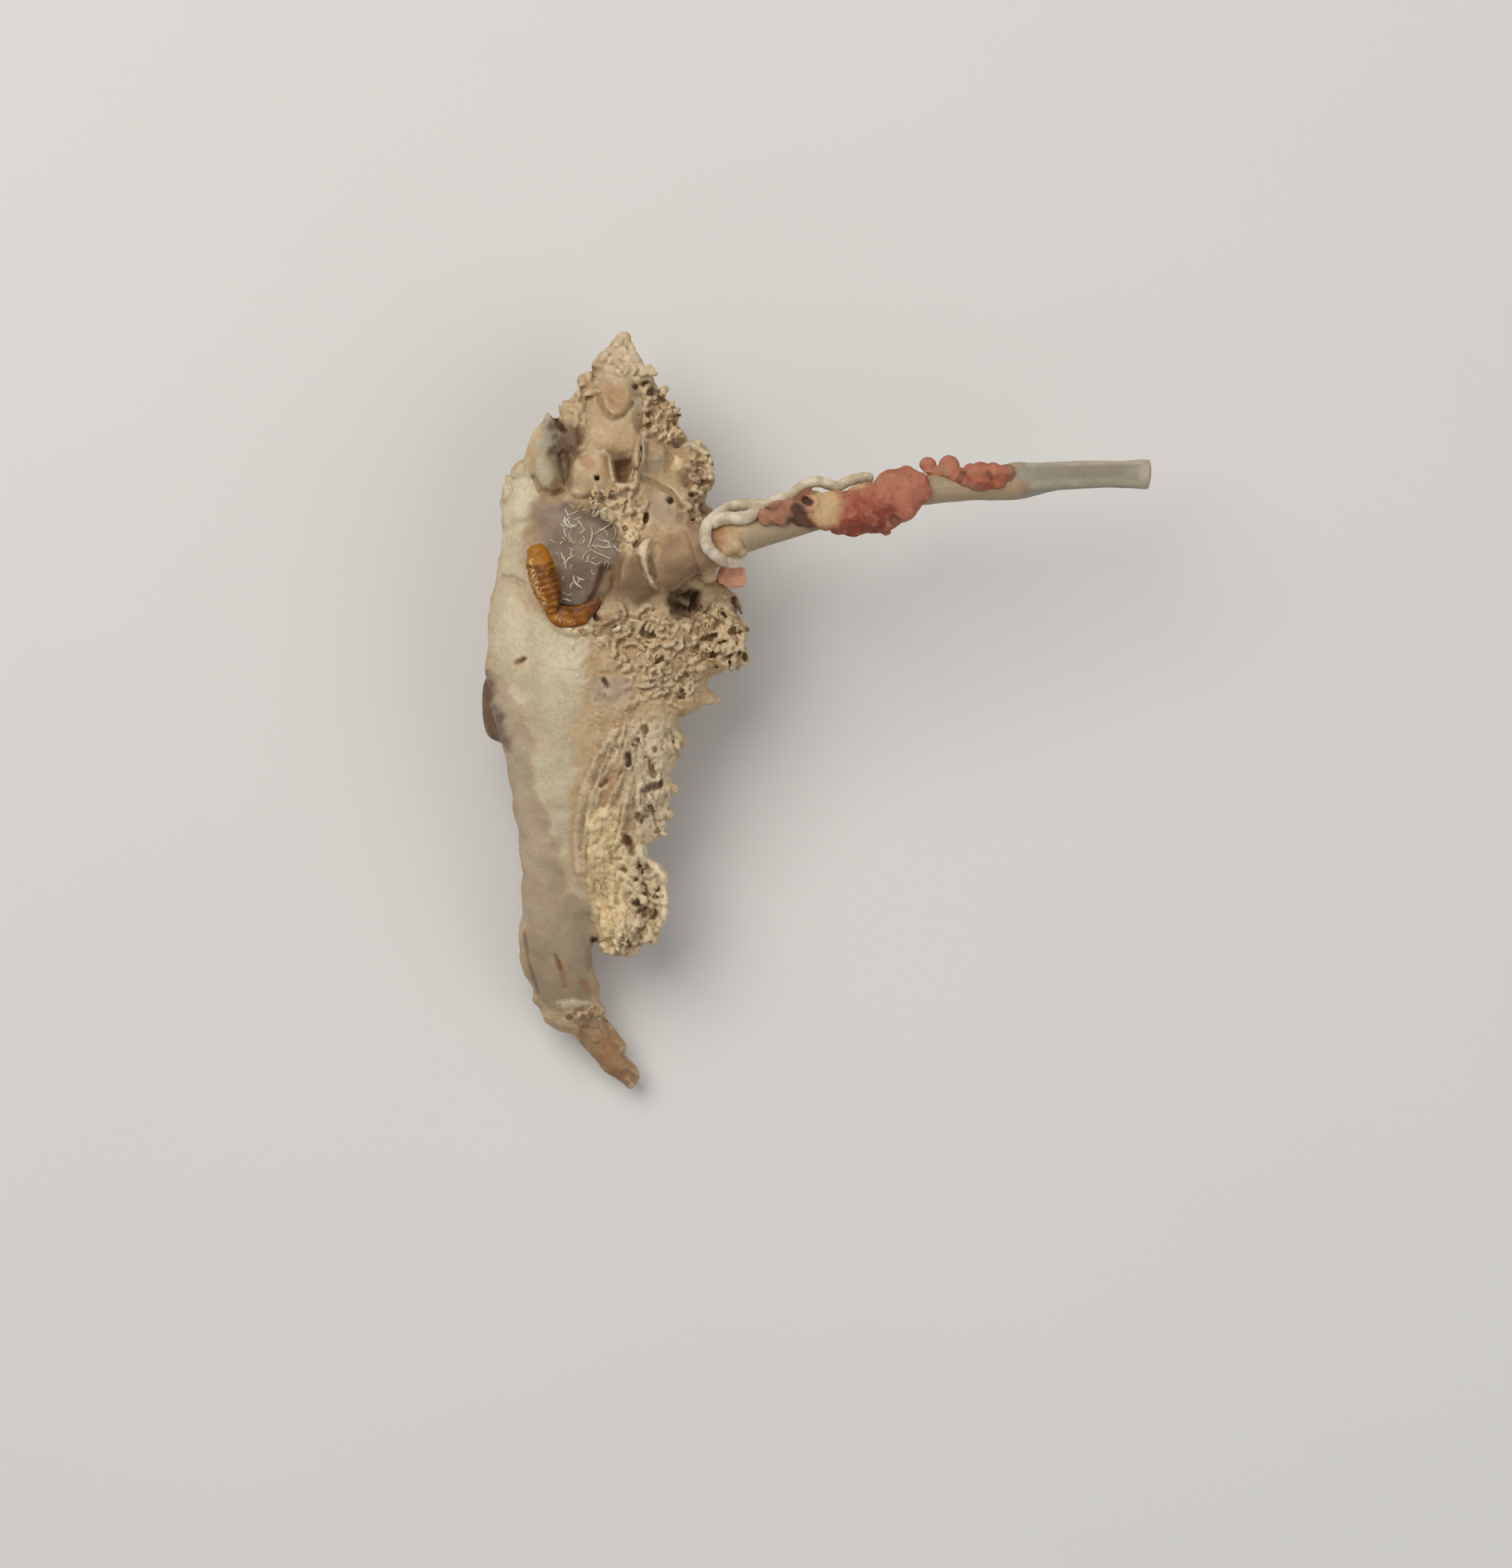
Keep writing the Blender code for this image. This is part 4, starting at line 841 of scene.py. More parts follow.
def between_lines(first, last, share):
    return [(a[0] + (b[0] - a[0]) * share, a[1] + (b[1] - a[1]) * share) for a, b in zip(first, last)]


def inside(outline, spot):
    return in_outline(np.array([spot], float), outline, 0.01)[0] > 0.5


def scattered(dice, outline, count):
    """Places spread by chance over an outline on the sheet."""
    low, high = np.min(outline, 0), np.max(outline, 0)
    spots = []
    while len(spots) < count:
        spot = (dice.uniform(low[0], high[0]), dice.uniform(low[1], high[1]))
        if inside(outline, spot):
            spots.append(spot)
    return spots


def worked_shell():
    shell, slit = shell_blank()
    finish_with(shell, "REMESH", mode="VOXEL", voxel_size=SHELL_GRAIN)
    finish_with(shell, "BOOLEAN", operation="DIFFERENCE", solver="EXACT", object=slit)
    bpy.data.objects.remove(slit)
    finish_with(shell, "SMOOTH", factor=0.5, iterations=1)
    clay = Clay(shell)
    mouth = clay.area(MOUTH, 13)
    clay.level(mouth, MOUTH_HEIGHT - (clay.seen[:, 1] - MOUTH_CORNER[1]) * MOUTH_SLOPE[1] - (clay.seen[:,
        0] - MOUTH_CORNER[0]) * MOUTH_SLOPE[0])
    for kind, shape, *sizes, height in RELIEF:
        cover = clay.line(shape, *sizes) if kind == "line" else clay.area(shape, *sizes)
        clay.raise_up(cover, height)
    dice = random.Random(7)
    for first, last, count, height in FIBRES:
        for i in range(count):
            line = between_lines(first, last, (i + dice.uniform(0.1, 0.9)) / count)
            reach = dice.uniform(0.35, 1.0)
            start = dice.uniform(0, 1 - reach)
            line = line[int(start * 3) :][: max(2, round(reach * len(line)))]
            width = dice.uniform(0.7, 1.6)
            clay.raise_up(clay.line(line, width, dice.uniform(2, 3.2)), height * dice.uniform(0.5, 1.4))
    for outline, count, (least, most), depth in BORED:
        for x, y in scattered(dice, outline, count):
            wide, turn = dice.uniform(least, most), dice.uniform(0, math.pi)
            long = wide * dice.uniform(0, 1.4)
            line = [(x, y), (x + long * math.cos(turn), y + long * math.sin(turn))]
            clay.raise_up(clay.line(line, wide * 0.7, wide * 0.6 + 0.8), -depth * dice.uniform(0.5, 1))
    for (x, y), reach, (across, down) in PUSHES:
        cover = np.exp(-((clay.seen - (x, y)) ** 2).sum(1) / reach**2)
        clay.points[:, :2] += cover[:, None] * np.array((across, -down)) / SQUARES
    clay.write()
    smooth = smooth_parts(clay)
    clay.group("rough", 1 - smooth)
    clay.group("ragged_parts", ragged_parts(clay))
    clay.group("all", np.full(clay.count, 1.0))
    roughen(shell, 0.6, 2, 0.14, group="rough")
    roughen(shell, 0.22, 2, 0.05, group="rough")
    roughen(shell, 1.6, 1, 0.1)
    crests = clouds(0.36, kind="MUSGRAVE", musgrave_type="RIDGED_MULTIFRACTAL", octaves=3.0, lacunarity=2.2,
        dimension_max=0.9)
    finish_with(shell, "DISPLACE", texture=crests, strength=0.03, mid_level=0.5, vertex_group="ragged_parts")
    roughen(shell, 0.15, 1, 0.015, group="ragged_parts")
    clay = Clay(shell)
    clay.group("back", 1 - eased(clay.normals[:, 2] * 2 + 0.9))
    triangles = sum(len(face.vertices) - 2 for face in shell.data.polygons)
    if triangles > SHELL_FACES:
        finish_with(shell, "DECIMATE", ratio=SHELL_FACES / triangles, vertex_group="back", vertex_group_factor=4.0)
    shell.vertex_groups.clear()
    clay = Clay(shell)
    clay.plate, clay.rim = np.zeros(clay.count), np.zeros(clay.count)
    dice = np.random.default_rng(5)
    for form, outline, soft, *sizes in WEATHERED:
        weathered(clay, dice, form, outline, soft, *sizes)
    for outline, *habit in CURLED:
        curled(clay, dice, outline, *habit)
    # field tones with painted highlight and shadow, and rims of painted shade
    clay.attribute("plate", clay.plate)
    clay.attribute("rim", clay.rim)
    clay.write()
    return shell


# outlines on the sheet, and their soft edge in squares, where the skin is smooth
SMOOTH_PARTS = [
    ([(628, 600), (660, 556), (700, 560), (715, 620), (690, 640), (668, 650), (660, 690), (672, 740), (700, 790),
        (740, 800), (742, 850), (785, 850), (790, 880), (745, 930), (722, 990), (718, 1080), (745, 1110),
        (745, 1180), (748, 1240), (700, 1262), (670, 1250), (648, 1160), (650, 1060), (636, 960), (600, 900),
        (602, 800), (625, 740), (622, 680)], 10),
    ([(674, 628), (716, 634), (770, 655), (780, 682), (764, 706), (757, 720), (750, 752), (700, 760), (672, 690)], 5),
    ([(690, 500), (708, 530), (716, 560), (712, 600), (690, 620), (660, 600), (665, 560)], 8),
    ([(812, 672), (850, 655), (880, 648), (1460, 560), (1460, 640), (960, 700), (895, 706), (840, 730), (816, 735)], 6),
    ([(766, 690), (800, 690), (806, 728), (830, 742), (800, 752), (766, 745)], 8),
    ([(739, 494), (767, 526), (792, 508), (806, 540), (797, 562), (770, 570), (735, 562)], 6),
    ([(714, 582), (738, 562), (765, 572), (771, 606), (740, 617), (712, 610)], 5),
    ([(803, 606), (836, 620), (848, 640), (831, 660), (806, 640)], 6),
    ([(745, 476), (779, 466), (795, 485), (779, 516), (756, 511)], 6),
    ([(806, 1070), (822, 1082), (832, 1098), (838, 1120), (833, 1150), (822, 1150), (826, 1110)], 4),
    ([(720, 1270), (760, 1270), (785, 1310), (800, 1350), (780, 1360), (745, 1330)], 8),
]

# the same where it is ragged
RAGGED_PARTS = [
    ([(740, 785), (800, 755), (850, 770), (900, 740), (945, 760), (945, 845), (870, 880), (840, 900), (790, 880),
        (795, 845), (750, 830)], 10),
    ([(775, 905), (850, 890), (860, 940), (850, 1050), (800, 1060), (790, 960)], 8),
    ([(735, 1010), (785, 1010), (800, 1080), (822, 1090), (822, 1140), (800, 1190), (750, 1195), (735, 1120)], 6),
    ([(850, 555), (900, 550), (900, 640), (870, 660), (860, 610)], 6),
    ([(745, 612), (800, 600), (800, 680), (775, 690), (770, 650), (740, 635)], 6),
    ([(805, 470), (850, 490), (860, 540), (820, 560), (800, 520)], 6),
    ([(895, 700), (935, 700), (935, 740), (895, 740)], 6),
]


def smooth_parts(clay):
    cover = np.zeros(clay.count)
    for outline, soft in SMOOTH_PARTS:
        cover = np.maximum(cover, in_outline(clay.wavy, outline, soft) * eased(clay.normals[:, 2] + 1))
    tube = eased((clay.points[:, 0] - 2.6) / 0.8) * eased((clay.points[:, 1] - 4.2) / 0.4)
    return np.clip(np.maximum(cover * 0.88, tube * 0.9), 0, 1)


def ragged_parts(clay):
    cover = np.zeros(clay.count)
    for outline, soft in RAGGED_PARTS:
        cover = np.maximum(cover, in_outline(clay.wavy, outline, soft + 4) * clay.up)
    return cover * (1 - eased((clay.points[:, 2] - 6.0) / 0.4) * eased((clay.points[:, 0] - 1) / 0.5))


# ---------------------------------------------------------------- colour, laid on by brush

# strokes on the sheet as in RELIEF, but with how strong the stain is last. The shade marks and the darkest hole marks
# are painted shade, and two lines along the tube's edges are a painted highlight
STAINS_AND_PAINTED_LIGHT = {
    "glass": [
        ("area", [(1272, 560), (1470, 560), (1470, 640), (1272, 640)], 13.5, 1.0),
    ],
    "shade": [
        ("area", [(660, 1170), (740, 1170), (742, 1250), (700, 1262), (668, 1240)], 16, 0.14),
        ("area", [(684, 530), (692, 524), (702, 532), (716, 526), (730, 540), (728, 562), (716, 572), (712, 606),
            (706, 606), (700, 574), (690, 562)], 6, 1.6),
        ("area", PIT, 8, 0.8),
        ("area", [(700, 536), (714, 560), (718, 606), (704, 608), (696, 566)], 9, 1.0),
        ("area", [(598, 842), (612, 844), (628, 900), (636, 936), (616, 932), (598, 890)], 8, 1.5),
        ("area", [(744, 770), (780, 764), (800, 784), (780, 800), (752, 790)], 16, 0.5),
        ("area", [(686, 526), (698, 530), (714, 556), (716, 606), (702, 606), (692, 564)], 8, 1.0),
        ("line", [(1300, 591), (1340, 589), (1400, 588)], 2.4, 7, 0.4),
        ("line", [(700, 752), (722, 756), (742, 748), (754, 730)], 9, 14, 1.2),
        ("area", [(704, 716), (762, 700), (756, 748), (736, 766), (700, 762)], 18, 1.0),
        ("area", [(604, 846), (616, 856), (626, 900), (634, 932), (616, 926), (602, 890)], 6, 0.8),
        ("area", [(684, 524), (694, 530), (706, 552), (708, 604), (696, 580)], 9, 0.9),
        ("area", [(756, 708), (764, 712), (752, 744), (738, 762), (704, 760), (716, 748), (742, 736)], 9.8, 0.9),
        ("area", [(766, 700), (806, 706), (812, 735), (838, 744), (800, 760), (768, 756)], 13.5, 0.5),
        ("line", [(820, 734), (850, 728), (892, 704)], 3.2, 8.4, 0.5),
        ("line", [(994, 634), (1010, 650), (1020, 660)], 4.8, 7.1, 0.8),
        ("area", [(676, 530), (686, 526), (706, 548), (706, 606), (698, 570)], 7.2, 0.45),
        ("line", [(608, 848), (603, 880), (612, 915), (626, 930)], 6.4, 7.1, 0.6),
        ("line", [(745, 775), (765, 785)], 4.8, 11, 0.5),
        ("line", [(838, 770), (870, 762), (905, 740)], 4.8, 11, 0.5),
        ("line", [(656, 1166), (662, 1205), (674, 1240)], 1, 2.6, 0.9),
    ],
    "cream": [
        ("area", [(628, 605), (655, 575), (668, 600), (672, 625), (655, 660), (652, 700), (668, 745), (690, 780),
            (735, 795), (730, 860), (712, 920), (720, 960), (712, 990), (712, 1080), (735, 1120), (722, 1128),
            (690, 1040), (665, 975), (670, 925), (648, 880), (615, 835), (612, 760), (625, 720), (622, 680)], 11, 1.0),
    ],
    "lilac": [
        ("area", [(804, 606), (836, 612), (862, 640), (858, 664), (812, 660)], 10, 0.55),
        ("area", [(800, 832), (850, 820), (860, 860), (806, 870)], 14, 0.35),
        ("area", [(612, 830), (632, 850), (650, 885), (668, 925), (662, 970), (688, 1030), (700, 1080), (712, 1120),
            (742, 1128), (742, 1180), (735, 1215), (690, 1200), (655, 1180), (655, 1080), (640, 980), (618, 900)],
            8.5, 1.0),
        ("area", [(640, 670), (668, 668), (668, 710), (640, 700)], 11, 0.5),
        ("area", [(735, 850), (770, 840), (792, 852), (790, 876), (760, 890), (740, 880)], 11, 0.7),
        ("area", [(728, 960), (760, 900), (790, 900), (770, 960), (735, 1040), (722, 1040)], 13.5, 0.35),
        ("area", [(805, 568), (826, 566), (830, 586), (810, 590)], 7.2, 0.8),
        ("area", [(800, 606), (822, 612), (828, 640), (805, 640)], 8.5, 0.6),
    ],
    "plug": [
        ("area", [(700, 626), (716, 632), (766, 655), (778, 682), (766, 705), (759, 720), (748, 749), (737, 761),
            (698, 755), (692, 700), (684, 672)], 7.2, 1.0),
        ("area", [(690, 620), (716, 630), (720, 660), (700, 700), (684, 690), (668, 668), (662, 645), (674, 626)],
            16, 0.8),
    ],
    "stone": [
        ("area", [(655, 1180), (700, 1195), (740, 1190), (740, 1240), (700, 1265), (670, 1250)], 11, 1.0),
        ("area", [(930, 640), (1010, 600), (1150, 560), (1270, 560), (1270, 640), (930, 705)], 11, 0.7),
    ],
    "yellow": [
        ("area", [(735, 1015), (775, 1005), (785, 1080), (780, 1150), (770, 1190), (748, 1190), (738, 1120)], 8.5, 1.0),
        ("area", [(776, 650), (806, 650), (800, 690), (775, 690)], 8.5, 0.6),
        ("area", [(838, 565), (870, 570), (870, 592), (840, 590)], 8.5, 0.8),
        ("line", [(830, 1010), (845, 990)], 4.8, 11, 0.4),
    ],
    "brown": [
        ("area", [(715, 1272), (745, 1262), (770, 1290), (802, 1358), (780, 1362), (740, 1325)], 8.5, 1.0),
        ("area", [(764, 690), (816, 690), (860, 650), (900, 645), (900, 706), (850, 732), (800, 755), (762, 750)],
            11, 0.9),
        ("line", [(608, 845), (606, 890), (620, 925)], 6.4, 5.8, 1.0),
        ("area", [(768, 580), (793, 572), (789, 606), (771, 606)], 9, 1.0),
        ("area", [(720, 585), (750, 590), (756, 618), (722, 622), (712, 606)], 14, 0.45),
        ("area", [(850, 565), (880, 575), (886, 600), (860, 615), (846, 590)], 14, 0.8),
        ("area", [(800, 604), (840, 620), (850, 650), (812, 655)], 14, 0.4),
        ("area", [(706, 560), (722, 545), (730, 560), (716, 575), (712, 610), (704, 600)], 7.2, 0.7),
    ],
    # painted shade: the darkest brown, laid into holes, pits, cracks and the cut-through gap
    "painted_hole_shade": [
        ("line", [(695, 1194, 0.2), (698, 1201, 1), (701, 1210, 0.5)], 1, 3.4, 0.8),
        ("area", PIT, 7.2, 1.3),
        ("line", [(794, 483), (794, 484)], 1.9, 3.2, 1.0),
        ("line", [(806, 480), (809, 478)], 1.6, 3.2, 0.8),
        ("line", [(814, 489), (824, 492)], 2.4, 4.5, 0.8),
        ("line", [(838, 625), (838.5, 626)], 2.4, 3.2, 1.0),
        ("line", [(747, 597), (747, 598)], 1.9, 2.7, 1.0),
        ("line", [(918, 750), (925, 768)], 3.2, 4.5, 0.9),
        ("line", [(755, 849), (760, 857)], 0.7, 2.3, 1.0),
        ("line", [(651, 826), (656, 823)], 1.6, 2.2, 0.9),
        ("line", [(806, 988), (814, 984), (823, 982)], 3.2, 3.2, 0.8),
        ("line", [(785, 944), (785, 954)], 2.4, 3.2, 0.8),
        ("line", [(692, 517), (699, 530), (706, 538)], 1.3, 3.5, 0.9),
    ],
    "amber": [
        ("area", [(1262, 598), (1286, 600), (1284, 616), (1264, 618)], 8, 0.5),
        ("area", [(735, 1290), (770, 1285), (802, 1356), (780, 1362), (742, 1322)], 14, 0.4),
        ("line", [(900, 668), (902, 684)], 5, 7, 0.7),
        ("area", [(750, 478), (779, 470), (792, 486), (779, 512), (758, 508)], 8.5, 0.45),
        ("line", [(732, 575), (737, 578)], 4, 7.1, 0.6),
        ("line", [(700, 1206, 0.6), (706, 1220, 1), (708, 1234, 0.4)], 2.4, 8, 0.7),
        ("line", [(729, 1228, 0.6), (732, 1234, 1), (734, 1239, 0.5)], 1.4, 7, 0.8),
        ("line", [(745, 1180), (748, 1240)], 2.4, 7.1, 0.4),
        ("line", [(652, 827), (646, 829)], 3.2, 5.8, 0.4),
        ("line", [(690, 760), (705, 772), (740, 770)], 4.8, 11, 0.5),
        ("line", [(655, 740), (665, 760)], 4, 11, 0.35),
        ("line", [(755, 979), (760, 972)], 2.4, 5.8, 0.5),
        ("line", [(752, 778), (765, 785)], 4.8, 11, 0.5),
    ],
    "moss": [
        ("area", [(678, 530), (688, 515), (706, 545), (704, 600), (690, 560), (668, 560)], 8.5, 0.9),
        ("area", CONE, 7.2, 0.6),
        ("line", [(862, 558), (863, 559)], 4, 7.1, 0.7),
        ("line", [(799, 500), (799, 512)], 3.2, 5.8, 0.5),
    ],
    "bone_and_painted_gleam": [
        ("area", [(618, 880), (650, 880), (664, 930), (650, 980), (632, 930)], 14, 0.3),
        ("area", [(770, 414), (790, 414), (816, 470), (790, 480), (745, 476)], 14, 0.8),
        # painted highlight: these two lines along the tube's upper and lower edges
        ("line", [(1286, 578), (1340, 577), (1400, 575), (1432, 576)], 2, 5, 0.5),
        ("line", [(1292, 606), (1340, 604), (1400, 602), (1434, 604)], 2, 5, 0.4),
        ("area", [(1424, 570), (1440, 570), (1440, 612), (1424, 612)], 5, 0.4),
        ("area", [(790, 905), (850, 900), (842, 960), (832, 1040), (800, 1050), (786, 980)], 16, 0.75),
        ("area", [(788, 1062), (806, 1066), (836, 1096), (832, 1160), (800, 1190), (776, 1176)], 10, 0.5),
        ("line", [(803, 1066), (820, 1082), (831, 1098), (834, 1118), (830, 1150)], 7, 7, 1.7),
        ("area", [(614, 750), (660, 740), (700, 790), (690, 860), (640, 840), (612, 810)], 16, 0.4),
        ("area", LIP, 2.5, 1.0),
        ("line", SCALE_1, 1, 2, 0.9),
        ("line", SCALE_2, 1, 2, 1.0),
        ("line", SCALE_3, 1, 2.4, 0.8),
        ("line", SCALE_4, 1.4, 2.4, 1.0),
        ("line", [(876, 556), (888, 566), (891, 590)], 6, 6, 0.7),
        ("line", [(703, 540), (744, 500)], 3, 10, 0.3),
        ("line", [(770, 914), (748, 952), (732, 992), (722, 1040), (724, 1088)], 1.6, 3, 0.6),
        ("line", [(778, 926), (756, 966), (741, 1006), (732, 1050)], 1.2, 3, 0.5),
        ("line", FOLD_EDGE, 1.6, 2.4, 1.1),
        ("line", LOBE_RIDGE, 1.6, 3.2, 0.8),
        ("line", [(780, 418), (781, 424)], 6, 8, 0.5),
        ("line", [(806, 540), (804, 594)], 1.3, 2.7, 0.9),
        ("line", [(880, 556), (893, 574)], 4, 7.1, 0.6),
        ("line", MOUTH_RIDGE, 2.4, 4.5, 0.8),
        ("line", [(707, 1256), (718, 1254), (734, 1256)], 2.4, 4.5, 0.8),
    ],
}


def stain(clay, stains, line, area):
    """Lays stains, painted shade and painted light on by their strokes: each point takes the strongest of them."""
    for name, strokes in stains.items():
        cover = np.zeros(clay.count)
        for kind, shape, *sizes, amount in strokes:
            cover = np.maximum(cover, (line if kind == "line" else area)(shape, *sizes) * amount)
        clay.attribute(name, cover)


def stain_shell(clay):
    stain(clay, STAINS_AND_PAINTED_LIGHT, clay.line, lambda outline, soft: in_outline(clay.wavy, outline, soft) * clay.up)
    # how far each point lies sunk, broad and fine, which the finish darkens as painted shade
    clay.attribute("hollow", clay.sunk(24))
    clay.attribute("crease", clay.sunk(5))
    clay.attribute("polish", smooth_parts(clay))


def shell_finish():
    f = Finish("weathered_shell", Roughness=0.6, Subsurface_Weight=0.1, Subsurface_Scale=0.0005, IOR=1.5)
    wobble = f.grain(0.55, 4, 0.6) - 0.5
    fine = f.grain(0.13, 4, 0.65)
    blotch = f.grain(0.8, 4, 0.6, 0.4)
    wide = f.grain(2.4, 3, 0.6)
    polish = f.mask("polish")

    def laid(name, spread=0.5, soft=0.2):
        return f.between(f.mask(name) + wobble * spread, 0.5 - soft, 0.5 + soft)

    plate, rim, wear = f.mask("plate"), f.mask("rim"), f.between(wobble, -0.2, 0.12)

    def washed(name):
        return f.mask(name) * (0.45 + wear * 0.55)

    f.colour = f.mix(f.between(wide, 0.35, 0.65), tone(176, 146, 108), tone(192, 166, 128))
    f.lay(f.between(blotch, 0.5, 0.7) * 0.5, tone(206, 184, 146))
    f.lay(f.between(blotch, 0.46, 0.28) * 0.45, tone(154, 120, 78))
    f.lay(laid("cream", 0.5, 0.5), f.mix(f.between(wide, 0.35, 0.65), tone(208, 196, 166), tone(190, 175, 144)))
    f.lay(laid("moss", 0.4, 0.4), f.mix(blotch, tone(186, 185, 166), tone(144, 132, 104)))
    f.lay(laid("yellow"), f.mix(f.between(blotch, 0.35, 0.65), tone(236, 214, 168), tone(206, 178, 130)))
    f.lay(f.between(fine, 0.52, 0.75) * 0.34 * (1 - polish * 0.7), tone(148, 112, 72))
    # field tones with painted highlight on raised edges and painted shadow in hollows, then painted shade along rims
    # and cracks
    f.lay(f.between(plate, 0.0, 0.6) * 0.42, tone(222, 204, 168))
    f.lay(f.between(plate, 0.0, -0.6) * 0.36, tone(156, 122, 82))
    f.lay(f.between(rim + wobble * 0.7, 0.3, 1.0) * 0.4, tone(124, 90, 56))
    f.lay(laid("stone", 0.4, 0.4), f.mix(wide, tone(168, 152, 124), tone(144, 126, 98)))
    f.lay(laid("glass", 0.2, 0.4), f.mix(wide, tone(160, 155, 142), tone(132, 126, 112)))
    f.lay(laid("brown", 0.5, 0.35), f.mix(f.between(blotch, 0.3, 0.7), tone(158, 128, 94), tone(126, 96, 64)))
    f.lay(laid("lilac", 0.22, 0.35), f.mix(f.between(wide, 0.3, 0.7), tone(188, 168, 142), tone(160, 141, 116)))
    f.lay(laid("plug", 0.35, 0.5), f.mix(f.between(blotch, 0.3, 0.7), tone(142, 124, 110), tone(108, 88, 72)))
    # bone-white marks, with a painted highlight along the tube's edges
    f.lay((washed("bone_and_painted_gleam") * 0.9).at_most(1.0), tone(226, 210, 178))
    f.lay(f.mask("amber") * f.between(blotch, 0.3, 0.6), tone(164, 108, 54))
    # painted shade in broad hollows and in creases; ridges laid paler
    f.lay(f.between(f.mask("hollow"), 0.03, 0.2) * (0.36 - polish * 0.2), tone(116, 84, 52))
    f.lay(f.between(f.mask("crease"), 0.006, 0.032) * (0.4 - polish * 0.3), tone(104, 72, 44))
    f.lay(f.between(f.mask("crease") * -1.0, 0.006, 0.03) * (0.36 - polish * 0.3), tone(226, 210, 174))
    specks = f.between(f.grain(0.16, 2, 0.5), 0.68, 0.74) * f.between(f.grain(1.3, 2), 0.45, 0.6)
    f.lay(specks * 0.5, tone(120, 78, 42))
    f.lay((washed("shade") * 0.72).at_most(0.85), tone(84, 58, 38))
    # painted shade, darkest, in holes, pits and cracks
    f.lay(washed("painted_hole_shade") * 0.85, tone(66, 42, 24))
    f.lay(f.between(f.grain(0.05, 2, 0.7), 0.32, 0.68) * 0.16, tone(122, 96, 66))
    f.lay(f.between(f.grain(0.13, 2, 0.6), 0.35, 0.68) * 0.16, tone(128, 100, 70))
    f.give("Base Color", f.colour)
    f.give("Roughness", 0.8 - polish * 0.26 + (fine - 0.5) * 0.2)
    height = fine * (1 - polish * 0.75) + f.grain(0.05, 3) * 0.3
    f.bump(height, 0.045, 0.8)
    return f.material


# ---------------------------------------------------------------- what lies on the shell


class Skin:
    """The worked surface, to be found from the eye."""

    def __init__(self, *objects):
        points, faces = [], []
        for obj in objects:
            first = len(points)
            points += [vert.co.copy() for vert in obj.data.vertices]
            faces += [[first + corner for corner in face.vertices] for face in obj.data.polygons]
        self.tree = BVHTree.FromPolygons(points, faces)
        self.eye = Vector((*EYE, EYE_HEIGHT))

    def under(self, across, down):
        """(point, normal) on the surface that is seen at a place on the sheet, or None."""
        point, normal, _, _ = self.tree.ray_cast(self.eye, (place(across, down, 0) - self.eye).normalized())
        return (point, normal) if point else None


def smooth_run(line, step):
    """Points along a smooth curve through a line's points, about a step apart."""
    line = [Vector(point) for point in line]
    ends = [line[0] * 2 - line[1], *line, line[-1] * 2 - line[-2]]
    run = []
    for a, b, c, d in zip(ends, ends[1:], ends[2:], ends[3:]):
        count = max(1, round((c - b).length / step))
        for i in range(count):
            t = i / count
            run.append((b * 2 + (c - a) * t + (a * 2 - b * 5 + c * 4 - d) * t * t + (b * 3 - a - c * 3 + d) * t**3) / 2)
    return run + [line[-1]]


def tube_at(x):
    """(y, z, radius) of the tube's middle line at x."""
    xs, ys, zs, radii = zip(*TUBE_RUN)
    return [float(np.interp(x, xs, column)) for column in (ys, zs, radii)]


def over_tube(across, down, lift):
    """The point that far above the tube's skin which is seen at a place on the sheet."""
    height = 6.9
    for _ in range(3):
        spot = place(across, down, height)
        y, z, radius = tube_at(spot.x)
        height = z + math.sqrt(max((radius + lift) ** 2 - ((spot.y - y) * 0.966) ** 2, 0))
    return place(across, down, height)


# places on the sheet and half-widths in squares, down the limb and along the crescent
LIMB = [
    (670, 680, 6), (671, 685, 11), (673, 693, 14.5), (675, 702, 17), (678, 713, 19), (681, 725, 19.5), (685, 737, 18),
    (688, 749, 14.5), (691, 759, 10), (693, 765, 5),
]
CRESCENT = [
    (686, 754, 6), (692, 762, 10.5), (700, 769, 13), (711, 771, 13.5), (723, 769, 12), (734, 763, 9.5), (743, 756, 6.5),
    (750, 749, 2.5),
]


def run_share(points, run):
    """How far along a run each point is, in millimetres."""
    run = np.array([tuple(point) for point in run])
    steps = np.concatenate([[0], np.cumsum(np.linalg.norm(np.diff(run, axis=0), axis=1))])
    return steps[((points[:, None] - run[None]) ** 2).sum(2).argmin(1)]


